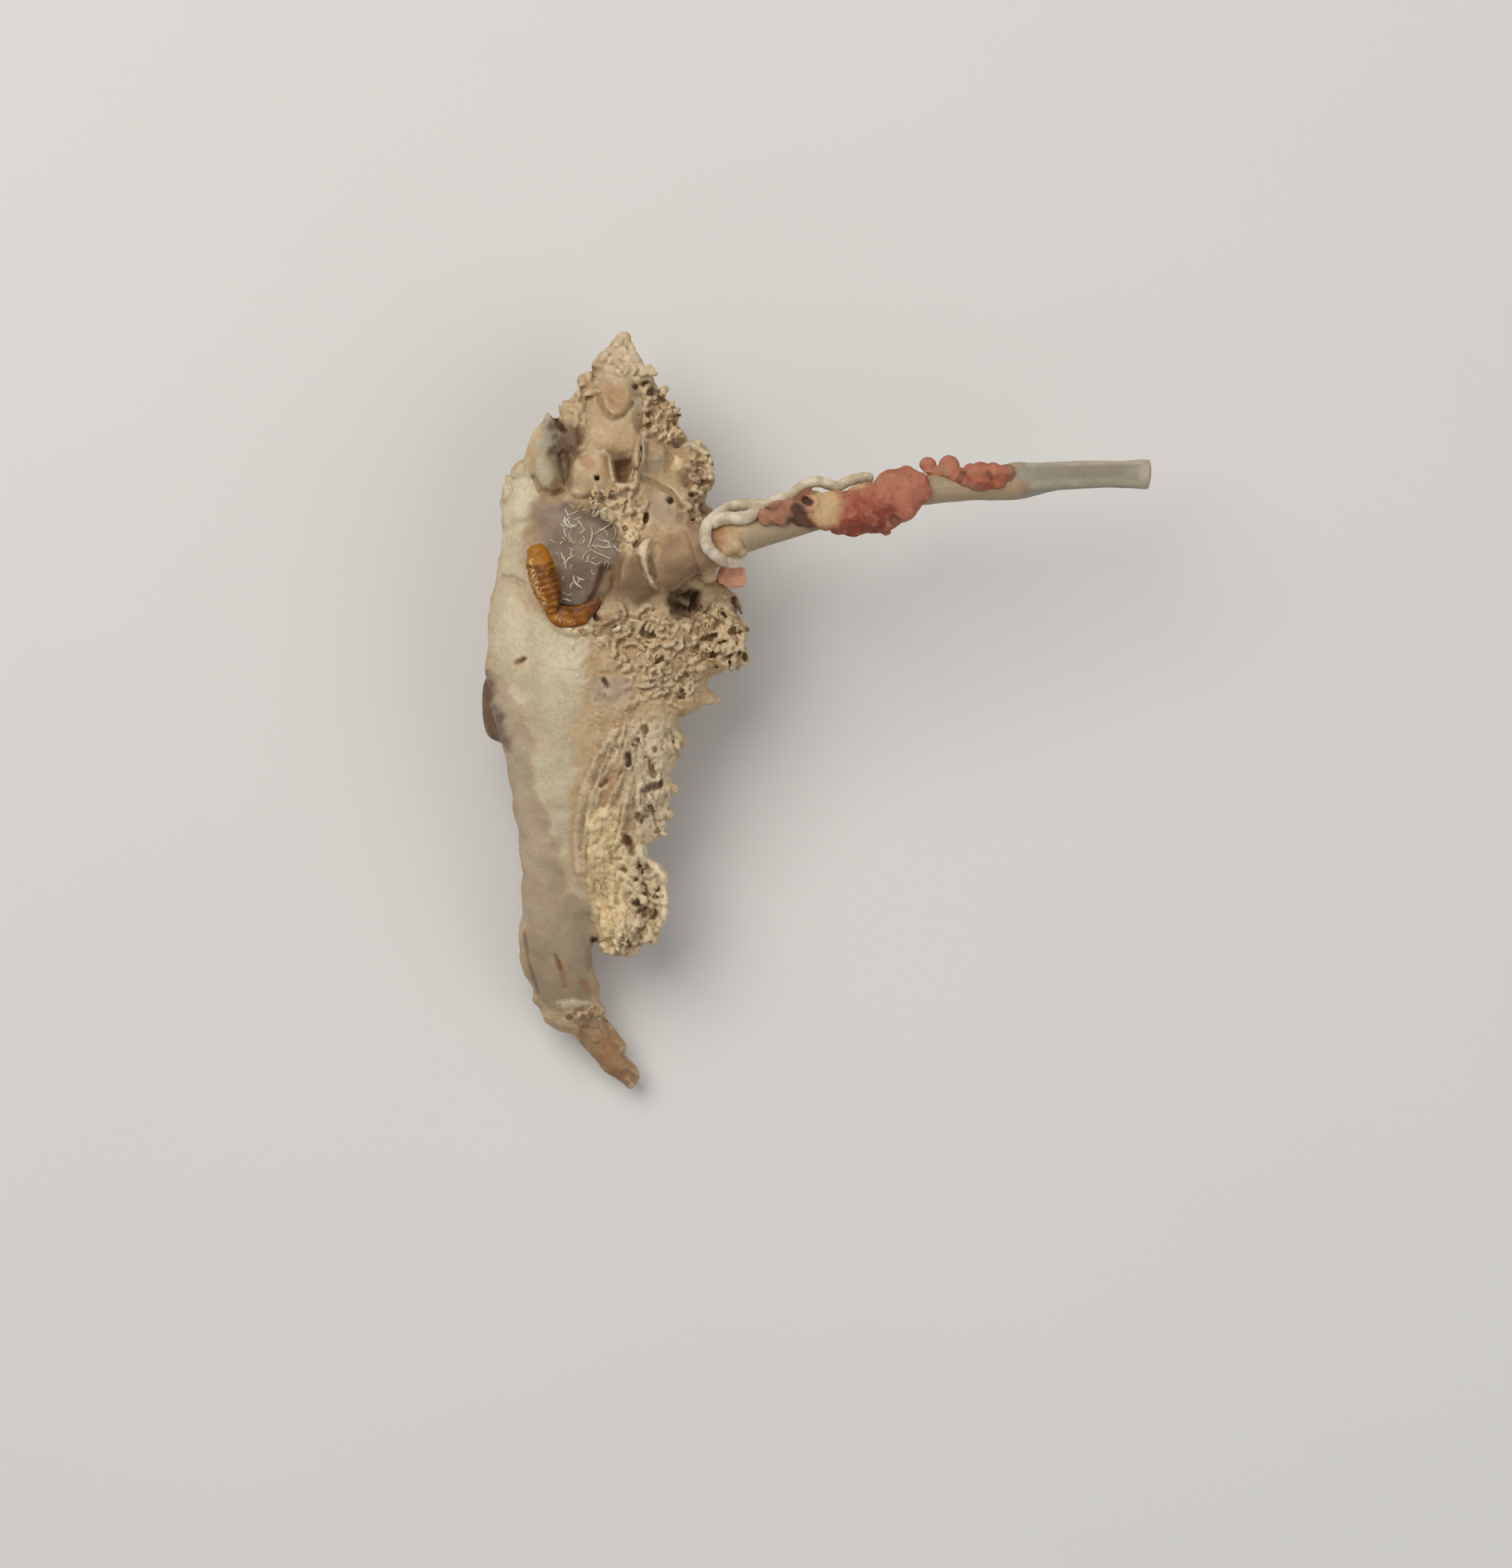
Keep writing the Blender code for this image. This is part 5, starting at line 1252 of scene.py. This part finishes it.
def operculum():
    """The horny lid: a ringed limb that stands at the mouth's edge and a flat crescent along its foot."""
    limb = smooth_run([place(x, y, 6.5 - (y - 681) * 0.0012) for x, y, _ in LIMB], 0.045)
    middle = [Vector(place(x, y, 6.3)) for x, y, _ in LIMB]
    marks = np.cumsum([0] + [(b - a).length for a, b in zip(middle, middle[1:])])
    stations, gone = [], 0.0
    for i, point in enumerate(limb):
        gone += (point - limb[i - 1]).length if i else 0
        wide = float(np.interp(gone, marks, [wide / SQUARES for _, _, wide in LIMB]))
        uneven = 0.6 * math.sin(gone * 3.1) + 0.35 * math.sin(gone * 7.7 + 1)
        wave = math.cos((gone - FIRST_RING) / RING_STEP * math.tau + uneven)
        ring = 0.0 if gone < 0.66 else 0.06 * (0.5 + 0.5 * wave) ** 2
        if abs(gone - FIRST_RING) < 0.05:
            ring = 0.07
        stations.append((*point, wide * (1 - ring)))
    body = drawn_out("limb", stations, sides=20, squash=0.74)
    foot = smooth_run([place(x, y, 6.28) for x, y, _ in CRESCENT], 0.07)
    wides = np.interp(np.linspace(0, 1, len(foot)), np.linspace(0, 1, len(CRESCENT)),
        [w / SQUARES for _, _, w in CRESCENT])
    flat = drawn_out("crescent", [(*point, wide) for point, wide in zip(foot, wides)], sides=16, squash=0.36)
    clay = Clay(body)
    clay.attribute("run", run_share(clay.points, limb))
    clay = Clay(flat)
    clay.attribute("run", 4 + run_share(clay.points, foot))
    lid = join([body, flat], "operculum_horn")
    finish_with(lid, "SUBSURF", levels=1, render_levels=1)
    roughen(lid, 0.4, 1, 0.1)
    roughen(lid, 0.16, 2, 0.04)
    clay = Clay(lid)
    stain_part(clay, {
        "pale_and_painted_light": [("line", [(664, 700), (666, 716), (670, 730), (676, 744), (682, 756)], 1.5, 3.5, 1.0),
            ("line", [(693, 770), (704, 776), (716, 778)], 1.5, 4, 0.5)],
        "shade": [("line", [(660, 707), (674, 711), (690, 705)], 0.6, 3.2, 0.7),
            ("line", [(690, 714), (696, 730), (700, 744), (700, 756)], 2, 5, 0.8),
            ("line", [(736, 768), (746, 756)], 3, 6, 0.6),
            ("line", [(694, 758), (706, 762), (724, 762), (740, 756)], 0.8, 3.4, 0.8)],
    })
    return lid


# the worm tube's middle lines on the sheet
HOOK = [
    (926, 701), (914, 702), (902, 698), (891, 690), (884, 680), (882, 668), (884, 657), (892, 648), (901, 641),
        (911, 635),
    (923, 631), (935, 630), (946, 631), (956, 630), (966, 627), (976, 623), (986, 621), (995, 615), (1003, 608),
        (1014, 603),
    (1026, 602), (1037, 605), (1047, 608), (1057, 603), (1068, 599), (1080, 597), (1092, 597),
]
COIL = [(888, 655), (899, 649), (912, 647), (925, 648), (937, 645), (946, 639), (952, 632)]


def worm_tube():
    """A worm's chalk tube glued along the anal tube: a hook, a curl and a run of low waves."""
    dice = random.Random(3)
    strands = []
    for line, wide, tail in ((HOOK, 0.21, 0.84), (COIL, 0.22, 0.9)):
        run = smooth_run([over_tube(x, y, wide * 0.72) for x, y in line], 0.085)
        if line is HOOK:
            for point in run:
                if point.x > 4.6:
                    point.z += 0.05 * math.sin((point.x - 4.6) * 5.2)
        stations = []
        for i, point in enumerate(run):
            share = i / (len(run) - 1)
            ring = 1 + 0.05 * math.sin(i * 1.9) + dice.uniform(-0.035, 0.035)
            stations.append((*point, wide * (1 - (1 - tail) * share) * ring * (0.75 if i in (0, len(run) - 1) else 1)))
        strands.append(drawn_out("strand", stations, sides=12))
    worm = join(strands, "worm_tube_chalk")
    finish_with(worm, "SUBSURF", levels=1, render_levels=1)
    roughen(worm, 0.3, 2, 0.03)
    return worm


# each: place on the sheet, half-width and half-height in squares
CRUST_LUMPS = [
    (952, 638, 11, 9), (962, 644, 12, 9), (974, 634, 13, 10), (984, 642, 12, 11), (978, 650, 10, 7), (996, 628, 12, 11),
    (1000, 646, 11, 12), (1010, 618, 11, 8), (1022, 628, 13, 12), (1014, 646, 12, 10), (1034, 636, 14, 13),
        (1028, 654, 12, 9),
    (1050, 626, 13, 15), (1046, 652, 13, 12), (1066, 648, 15, 14), (1070, 622, 14, 16), (1084, 646, 15, 16),
        (1092, 622, 14, 16),
    (1106, 644, 14, 15), (1112, 618, 13, 14), (1128, 632, 13, 14), (1130, 610, 12, 13), (1145, 614, 11, 13),
        (1143, 632, 6, 7),
    (1066, 664, 12, 7), (1092, 662, 14, 6), (1108, 664, 8, 6), (1048, 664, 10, 5),
]


def pink_crust():
    """The pink growth round the tube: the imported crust's skin, with lumps laid on it and a crater bored in."""
    parts = [from_node("pink_crust", "crust")]
    for x, y, wide, tall in CRUST_LUMPS:
        middle = over_tube(x, y, -0.02)
        parts.append(lump("crust_lump", middle, (wide / SQUARES, tall / SQUARES, 0.2)))
    crust = join(parts, "pink_crust_growth")
    reskin(crust, 0.055, 3)
    clay = Clay(crust)
    ring = clay.line([(1010, 617), (1020, 624), (1018, 634), (1006, 636), (1001, 627), (1006, 618)], 3, 3)
    clay.raise_up(ring, 0.07)
    clay.raise_up(clay.line([(1008, 625), (1013, 628)], 2.4, 4), -0.22)
    clay.raise_up(clay.line([(996, 634), (1004, 650), (1014, 660)], 1.5, 8), -0.12)
    clay.raise_up(clay.line([(1118, 650), (1124, 655)], 4, 4), -0.14)
    clay.write()
    roughen(crust, 0.5, 2, 0.12, level=0.55)
    roughen(crust, 0.14, 2, 0.04)
    clay = Clay(crust)
    stain_part(clay, {
        "brown": [("area", [(930, 610), (1000, 605), (1012, 640), (1000, 670), (930, 670)], 12, 0.8),
            ("line", [(1118, 650), (1126, 656)], 6, 6, 0.6)],
        "yellow": [("area", [(1012, 610), (1040, 608), (1056, 626), (1046, 654), (1020, 658), (1012, 640)],
            15, 1.0), ("line", [(1050, 606), (1075, 603)], 5, 6, 0.6)],
        "shade": [("line", [(998, 638), (1003, 652), (1012, 660)], 4, 12, 0.95), ("line", [(990, 652), (1004, 662)],
            3, 8, 0.8), ("line", [(996, 612), (1000, 620)], 3, 8, 0.5), ("line", [(1008, 625), (1013, 628)],
            3, 4, 0.9), ("line", [(1001, 614), (1018, 614)], 3, 4, 0.6)],
        "deep": [("area", [(1048, 640), (1120, 628), (1126, 660), (1070, 674), (1040, 668)], 14, 0.9),
            ("area", [(1046, 622), (1080, 616), (1084, 640), (1050, 642)], 12, 0.5)],
        "light": [("area", [(1096, 598), (1150, 588), (1156, 620), (1142, 650), (1122, 628), (1100, 616)], 16, 0.9),
            ("area", [(1044, 604), (1100, 596), (1104, 612), (1050, 618)], 10, 0.6)],
        "tan": [("area", [(1040, 596), (1100, 590), (1106, 604), (1046, 612)], 8, 0.8),
            ("line", [(1100, 600), (1150, 588)], 3, 6, 0.4)],
    })
    return crust


# each: place on the sheet, half-width and half-height in squares, half-depth
OUTER_LUMPS = [
    (1160, 580, 11, 10, 0.22), (1167, 590, 9, 8, 0.2), (1178, 592, 11, 11, 0.24), (1187, 584, 14, 16, 0.32),
        (1194, 594, 12, 12, 0.28),
    (1206, 600, 11, 9, 0.22), (1214, 592, 12, 14, 0.27), (1226, 588, 14, 12, 0.3), (1226, 602, 20, 12, 0.3),
        (1242, 592, 13, 12, 0.28),
    (1246, 603, 13, 9, 0.24), (1256, 594, 10, 9, 0.22), (1266, 587, 3.4, 5, 0.1), (1264, 597, 3.4, 7, 0.1),
]


def outer_crust():
    """The string of smaller pink lumps further out."""
    parts = [lump("bead", over_tube(x, y, -0.03),
        (wide / SQUARES, tall / SQUARES, deep)) for x, y, wide, tall, deep in OUTER_LUMPS]
    crust = join([from_node("outer_crust", "crust"), *parts], "outer_crust_growth")
    reskin(crust, 0.04, 9)
    roughen(crust, 0.5, 2, 0.06)
    roughen(crust, 0.14, 1, 0.02)
    stain_part(Clay(crust), {
        "brown": [("line", [(1262, 582), (1268, 592), (1263, 604)], 4, 4, 1.0), ("line", [(1205, 606), (1225, 612)],
            4, 5, 0.6)],
        "yellow": [],
        "shade": [("line", [(1200, 600), (1204, 592)], 3, 4, 0.6), ("line", [(1236, 590), (1240, 598)], 2, 3, 0.6)],
        "deep": [("line", [(1208, 596), (1222, 606), (1240, 606)], 2, 5, 0.8), ("line", [(1232, 594), (1250, 598)],
            1.5, 4, 0.6)],
        "light": [("area", [(1150, 570), (1204, 566), (1206, 600), (1150, 598)], 8, 0.8),
            ("line", [(1212, 584), (1252, 590)], 4, 6, 0.6)],
        "tan": [("line", [(1174, 584), (1184, 592)], 3, 5, 0.7), ("line", [(1214, 590), (1218, 600)], 2, 4, 0.5)],
    })
    return crust


def pink_knob():
    """The pink knob under the tube, on its two dark threads."""
    beads = ((908, 716, 10, 11, 0.26), (920, 714, 10, 8, 0.24), (926, 722, 7, 7, 0.2), (912, 727, 9, 8, 0.2),
        (903, 722, 7, 8, 0.2))
    parts = [lump("bead", place(x, y, 5.25),
        (wide / SQUARES, tall / SQUARES, deep)) for x, y, wide, tall, deep in beads]
    knob = join([from_node("pink_knob", "knob"), *parts], "pink_knob_growth")
    reskin(knob, 0.035, 2)
    roughen(knob, 0.2, 3, 0.07)
    # painted light: the whole knob laid pale, in place of the light that the tube shades from it
    stain_part(Clay(knob), {"brown": [("line", [(905, 734), (918, 734)], 4, 5, 0.7)], "yellow": [], "shade": [],
        "deep": [], "pale_and_painted_light": [("area", [(880, 690), (950, 690), (950, 736), (880, 736)], 6, 1.0)]})
    return knob


def stain_part(clay, stains):
    stain(clay, stains, partial(along_line, clay.seen), partial(in_outline, clay.seen))
    # how far each point lies sunk, which the finishes darken as painted shade
    clay.attribute("crease", clay.sunk(6))


# each: radius, and a line on the sheet
THREADS = [
    (0.045, [(708, 645), (706, 650), (709, 656), (716, 660)]), (0.025, [(706, 657), (706, 665), (710, 670)]),
    (0.022, [(709, 645), (717, 641), (726, 637)]), (0.024, [(716, 660), (712, 668), (714, 675), (720, 679)]),
    (0.026, [(686, 674), (691, 676), (695, 679)]), (0.06, [(744, 636), (742, 643), (746, 643), (750, 639), (756, 637)]),
    (0.034, [(738, 669), (747, 665), (757, 659), (763, 655)]),
        (0.045, [(740, 658), (741, 668), (738, 678), (735, 684)]),
    (0.034, [(736, 683), (746, 682), (757, 684), (768, 684)]),
        (0.034, [(736, 684), (745, 690), (757, 695), (765, 699)]),
    (0.026, [(734, 688), (730, 695), (728, 701)]), (0.026, [(707, 704), (711, 698), (719, 694)]),
        (0.022, [(707, 704), (708, 712)]),
    (0.036, [(717, 719), (719, 727), (724, 732), (729, 735)]), (0.03, [(700, 738), (708, 742)]),
        (0.04, [(702, 748), (708, 749), (715, 752)]),
    (0.03, [(768, 655), (771, 665), (768, 676)]), (0.026, [(762, 703), (760, 712)]), (0.024, [(733, 700), (736, 693)]),
    (0.03, [(722, 650), (728, 656), (731, 664)]), (0.024, [(748, 672), (755, 676), (764, 676)]),
        (0.022, [(712, 684), (718, 688)]),
    (0.028, [(752, 646), (760, 650), (766, 648)]), (0.024, [(694, 690), (700, 694)]), (0.022, [(746, 706), (752, 702)]),
]


def mouth_threads(skin):
    """White chalk threads that curl over the plug in the mouth."""
    dice = random.Random(11)
    curls = []
    for x, y in scattered(dice, [(704, 632), (742, 628), (772, 660), (768, 700), (748, 722), (706, 742),
        (700, 690)], 46):
        way, bend, length = dice.uniform(0, math.tau), dice.uniform(-0.9, 0.9), dice.uniform(2, 4.4)
        line = [(x, y)]
        for _ in range(3):
            line.append((line[-1][0] + length * math.cos(way), line[-1][1] + length * math.sin(way)))
            way += bend
        curls.append((dice.uniform(0.016, 0.032), line))
    strands = []
    for wide, line in [*THREADS, *curls]:
        spots = [skin.under(*spot) for spot in line]
        run = smooth_run([spot[0] + spot[1] * wide * 0.5 for spot in spots if spot], 0.07)
        last = len(run) - 1
        strands.append(drawn_out("thread", [(*p, wide * (0.35 + 0.65 * math.sin(math.pi * min(max(i / last, 0.08),
            0.92)))) for i, p in enumerate(run)], sides=6))
    return join(strands, "mouth_threads")


def choose(obj, test):
    """In edit mode, selects the points whose place passes a test."""
    mesh = bmesh.from_edit_mesh(obj.data)
    mesh.select_mode = {"VERT"}
    for vert in mesh.verts:
        vert.select_set(test(vert.co))
    mesh.select_flush_mode()
    bmesh.update_edit_mesh(obj.data)


def flake_kinds():
    """Broken bits of shell to scatter, each one unit long: a shard, a scale, a curl, a splinter and a crumb."""
    kinds = []
    for name, across, lift, narrow in (("shard", 0.5, 0.1, 0.2), ("scale", 0.9, 0.18, 0.6),
        ("curl", 0.5, 0.34, 0.7), ("splinter", 0.22, 0.06, 0.4)):
        empty_hand()
        bpy.ops.mesh.primitive_grid_add(x_subdivisions=3, y_subdivisions=2, size=1, location=(0, 0, 0))
        flake = bpy.context.object
        take_all()
        bpy.ops.transform.resize(value=(1, across, 1), center_override=(0, 0, 0))
        choose(flake, lambda co: co.x > 0.4)
        bpy.ops.transform.resize(value=(1, narrow, 1), center_override=(0, 0, 0))
        bpy.ops.transform.translate(value=(0, across * 0.12, -lift * 0.5))
        choose(flake, lambda co: abs(co.x) < 0.3)
        bpy.ops.transform.translate(value=(0, 0, lift))
        choose(flake, lambda co: abs(co.y) < 0.01)
        bpy.ops.transform.translate(value=(0.05, 0, lift * 0.5))
        bpy.ops.object.mode_set(mode="OBJECT")
        finish_with(flake, "SOLIDIFY", thickness=0.09, offset=0.0)
        flake.name = flake.data.name = name
        kinds.append(flake)
    crumb = lump("crumb", (0, 0, 0), (0.5, 0.4, 0.34), cuts=1)
    kinds.append(crumb)
    return kinds


# outline on the sheet, how many, size in squares, kinds by number, tilt from the surface in degrees
LITTER = [
    ([(742, 778), (800, 764), (850, 774), (905, 768), (900, 800), (868, 842), (835, 876), (800, 858), (760, 805)],
        34, (5, 13), (0, 3, 2, 0), (5, 40)),
    ([(866, 762), (905, 748), (932, 760), (937, 800), (925, 834), (880, 840)], 14, (5, 13), (0, 3, 2), (5, 45)),
    ([(742, 610), (788, 607), (798, 640), (780, 650), (752, 640)], 8, (5, 13), (0, 2, 3), (5, 40)),
    ([(716, 618), (746, 624), (764, 646), (738, 644), (722, 634)], 5, (6, 15), (0, 2, 3), (5, 30)),
    ([(860, 610), (882, 600), (880, 655), (862, 662)], 7, (5, 12), (0, 3, 3), (5, 30)),
    ([(804, 905), (846, 900), (838, 960), (832, 1035), (806, 1050), (800, 980)], 6, (4, 9), (0, 3), (5, 35)),
    ([(745, 1164), (800, 1160), (806, 1180), (784, 1193), (752, 1192)], 10, (4, 9), (1, 2, 4), (5, 45)),
    ([(740, 1020), (780, 1012), (786, 1100), (780, 1160), (750, 1165)], 8, (4, 9), (3, 4), (0, 20)),
    ([(790, 1062), (822, 1090), (826, 1145), (800, 1150)], 6, (4, 9), (0, 3, 4), (5, 45)),
    ([(800, 472), (842, 494), (852, 540), (815, 552), (800, 520)], 8, (4, 10), (0, 3), (5, 40)),
    ([(868, 556), (892, 556), (894, 604), (878, 610)], 5, (4, 9), (0, 3), (5, 40)),
    ([(714, 1258), (745, 1252), (758, 1276), (724, 1280)], 7, (5, 12), (0, 1), (5, 30)),
    ([(736, 780), (700, 784), (720, 796), (748, 792)], 6, (5, 12), (0, 1, 3), (5, 35)),
    ([(776, 650), (806, 650), (800, 688), (776, 690)], 5, (4, 8), (0, 4), (5, 30)),
]


def litter(skin):
    """Flakes, shards and crumbs of broken shell caught in the rough parts."""
    dice = random.Random(21)
    kinds = flake_kinds()
    flakes = []
    for outline, count, sizes, which, tilts in LITTER:
        for spot in scattered(dice, outline, count):
            found = skin.under(*spot)
            size = dice.uniform(*sizes) / SQUARES
            kind = kinds[dice.choice(which)]
            yaw, tilt, roll = dice.uniform(0, math.tau), math.radians(dice.uniform(*tilts)), dice.uniform(-0.5, 0.5)
            tint, thick = dice.random(), dice.uniform(0.7, 1.3)
            if not found or found[1].z < 0.15:
                continue
            point, normal = found
            place_it = (
                Matrix.Translation(point + normal * size * 0.06)
                @ normal.to_track_quat("Z", "Y").to_matrix().to_4x4()
                @ Matrix.Rotation(yaw, 4, "Z")
                @ Matrix.Rotation(-tilt, 4, "Y")
                @ Matrix.Rotation(roll, 4, "X")
                @ Matrix.Diagonal((size, size * thick, size, 1))
            )
            flake = bpy.data.objects.new("flake", kind.data.copy())
            bpy.context.scene.collection.objects.link(flake)
            flake.data.transform(place_it)
            layer = flake.data.attributes.new("tint", "FLOAT", "POINT")
            layer.data.foreach_set("value", np.full(len(flake.data.vertices), tint, np.float32))
            flakes.append(flake)
    for kind in kinds:
        bpy.data.objects.remove(kind)
    return join(flakes, "broken_flakes")


def amber_finish():
    f = Finish("amber_horn", Roughness=0.4, Subsurface_Weight=0.15, Subsurface_Scale=0.0003, Specular_IOR_Level=0.25)
    run = f.mask("run")
    blotch, fine = f.grain(0.35, 3, 0.6), f.grain(0.08, 3, 0.6)
    top = f.between(run + (blotch - 0.5) * 0.2, 0.75, 0.5)
    f.colour = f.mix(f.between(blotch, 0.35, 0.65), tone(114, 62, 8), tone(152, 94, 14))
    f.lay(top, f.mix(fine, tone(170, 114, 22), tone(138, 82, 10)))
    wave = f.node("ShaderNodeMath", {"operation": "COSINE"}, {0: (run - 0.58) * (math.tau / RING_STEP)})
    ridge = f.between(wave + (blotch - 0.5) * 1.6, 0.1, 0.9) * f.between(run, 0.56, 0.62) * f.between(run, 3.2, 3.0)
    f.lay(ridge * f.between(fine, 0.42, 0.6) * 0.55, tone(186, 138, 58))
    f.lay(f.between(blotch, 0.62, 0.74) * 0.6, tone(80, 40, 8))
    f.lay(f.between(f.grain(0.2, 3, 0.7, 0.8), 0.62, 0.7) * 0.3, tone(188, 146, 78))
    f.lay(f.mask("pale_and_painted_light") * f.between(fine, 0.44, 0.56), tone(196, 162, 108))
    f.lay(f.mask("shade") * 0.8, tone(60, 32, 8))
    # painted shade in creases
    f.lay(f.between(f.mask("crease"), 0.003, 0.02) * 0.5, tone(70, 36, 8))
    f.give("Base Color", f.colour)
    f.give("Roughness", 0.3 + blotch * 0.25)
    f.bump(fine + blotch, 0.02, 0.7)
    return f.material


def pink_finish():
    f = Finish("pink_growth", Roughness=0.8, Subsurface_Weight=0.12, Subsurface_Scale=0.0004)
    wobble = f.grain(0.4, 4, 0.6) - 0.5
    fine, blotch = f.grain(0.09, 4, 0.65), f.grain(0.5, 4, 0.6)

    def laid(name, soft=0.45):
        return f.between(f.mask(name) + wobble * 0.7, 0.5 - soft, 0.5 + soft)

    f.colour = f.mix(f.between(blotch, 0.35, 0.65), tone(166, 94, 68), tone(144, 74, 52))
    f.lay(laid("deep"), f.mix(f.between(blotch, 0.35, 0.65), tone(146, 68, 46), tone(120, 52, 34)))
    f.lay(f.between(fine, 0.45, 0.65) * 0.22, tone(186, 122, 96))
    f.lay(f.mask("light") * (0.5 + blotch * 0.5), f.mix(fine, tone(190, 130, 102), tone(164, 100, 76)))
    f.lay(laid("tan"), f.mix(fine, tone(170, 134, 100), tone(146, 104, 74)))
    f.lay(laid("brown"), f.mix(blotch, tone(164, 118, 88), tone(110, 74, 50)))
    f.lay(laid("yellow"), f.mix(fine, tone(208, 182, 138), tone(164, 128, 84)))
    # painted shade in creases; ridges laid paler
    f.lay(f.between(f.mask("crease"), 0.004, 0.022) * 0.5, tone(92, 44, 30))
    f.lay(f.between(f.mask("crease") * -1.0, 0.005, 0.02) * 0.3, tone(200, 138, 110))
    f.lay(laid("shade") * 0.8, tone(62, 40, 28))
    # painted light: the knob, which lies in the tube's shadow, laid pale
    f.lay(f.mask("pale_and_painted_light") * 0.8, f.mix(fine, tone(246, 190, 160), tone(232, 166, 136)))
    f.give("Base Color", f.colour)
    f.give("Roughness", 0.7 + fine * 0.25)
    f.bump(fine + f.grain(0.04, 2) * 0.4, 0.025, 0.8)
    return f.material


def chalk_finish():
    f = Finish("white_chalk", Roughness=0.55, Subsurface_Weight=0.15, Subsurface_Scale=0.0004)
    blotch, fine = f.grain(0.5, 4, 0.6), f.grain(0.07, 3, 0.6)
    f.colour = f.mix(f.between(blotch, 0.4, 0.62), tone(206, 194, 172), tone(176, 160, 132))
    f.lay(f.between(fine, 0.55, 0.75) * 0.5, tone(160, 138, 108))
    f.give("Base Color", f.colour)
    f.give("Roughness", 0.45 + blotch * 0.3)
    f.bump(fine, 0.02, 0.6)
    return f.material


def flake_finish():
    f = Finish("broken_shell", Roughness=0.7, Subsurface_Weight=0.1, Subsurface_Scale=0.0003)
    tint, fine = f.mask("tint"), f.grain(0.1, 3, 0.6)
    f.colour = f.mix(f.between(tint, 0.1, 0.6), tone(162, 128, 88), tone(198, 172, 130))
    f.lay(f.between(tint, 0.75, 0.95), tone(220, 204, 170))
    f.lay(f.between(tint, 0.1, 0.0) * 0.6, tone(140, 96, 54))
    f.lay(f.between(fine, 0.5, 0.7) * 0.5, tone(140, 106, 70))
    f.give("Base Color", f.colour)
    f.give("Roughness", 0.55 + fine * 0.3)
    f.bump(fine, 0.02, 0.6)
    return f.material


# ---------------------------------------------------------------- the stage


def stage_and_light():
    camera = bpy.data.objects.new("eye", bpy.data.cameras.new("eye"))
    camera.data.lens, camera.data.sensor_width, camera.data.clip_start = 100, 36, 0.001
    camera.location = ((EYE[0] - AXIS_SHIFT) / 1000, EYE[1] / 1000, EYE_HEIGHT / 1000)
    bpy.context.scene.collection.objects.link(camera)
    bpy.context.scene.camera = camera
    bpy.ops.object.select_all(action="DESELECT")
    bpy.ops.mesh.primitive_plane_add(size=1.2, location=(0, 0, -0.00002))
    floor = bpy.context.object
    floor.name = "pale_table"
    f = Finish("pale_table", Roughness=0.85)
    f.give("Base Color", f.mix(f.grain(30, 3), (0.62, 0.61, 0.59, 1), (0.66, 0.65, 0.63, 1)))
    floor.data.materials.append(f.material)
    for name, spot, size, watts, warmth in (
        ("window", (-0.075, 0.085, 0.17), 0.15, 0.31, (1, 0.965, 0.915)),
        ("fill", (0.12, -0.05, 0.15), 0.16, 0.09, (1, 0.98, 0.95)),
    ):
        light = bpy.data.objects.new(name, bpy.data.lights.new(name, "AREA"))
        light.data.size, light.data.energy, light.data.color = size, watts, warmth
        light.location = spot
        light.rotation_euler = (Vector((0, 0, 0.004)) - Vector(spot)).to_track_quat("-Z", "Y").to_euler()
        bpy.context.scene.collection.objects.link(light)
    world = bpy.data.worlds.new("room")
    world.use_nodes = True
    world.node_tree.nodes["Background"].inputs[0].default_value = (0.96, 0.98, 1, 1)
    world.node_tree.nodes["Background"].inputs[1].default_value = 0.36
    bpy.context.scene.world = world
    bpy.context.scene.view_settings.view_transform = "Standard"


def hand_over(obj, material, slot, *nodes, smooth=True):
    """Carries a finished piece from the bench to its place and gives it its finish."""
    obj.data.transform(TO_METRES)
    obj.data.materials.clear()
    obj.data.materials.append(material)
    pick(obj)
    if smooth:
        bpy.ops.object.shade_smooth()
    for group in list(obj.vertex_groups):
        obj.vertex_groups.remove(group)
    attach(obj, "root")
    if nodes:
        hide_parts(*nodes)


shell = worked_shell()
stain_shell(Clay(shell))
skin = Skin(shell)
chalk, pink, broken = chalk_finish(), pink_finish(), flake_finish()
hand_over(operculum(), amber_finish(), "amber_horn", "operculum")
hand_over(worm_tube(), chalk, "white_chalk", "worm_tube")
hand_over(pink_crust(), pink, "pink_growth", "pink_crust")
hand_over(outer_crust(), pink, "pink_growth", "outer_crust")
hand_over(pink_knob(), pink, "pink_growth", "pink_knob")
hand_over(mouth_threads(skin), chalk, "white_chalk")
hand_over(litter(skin), broken, "chalky_shell", smooth=False)
hand_over(shell, shell_finish(), "chalky_shell", "shell")
stage_and_light()
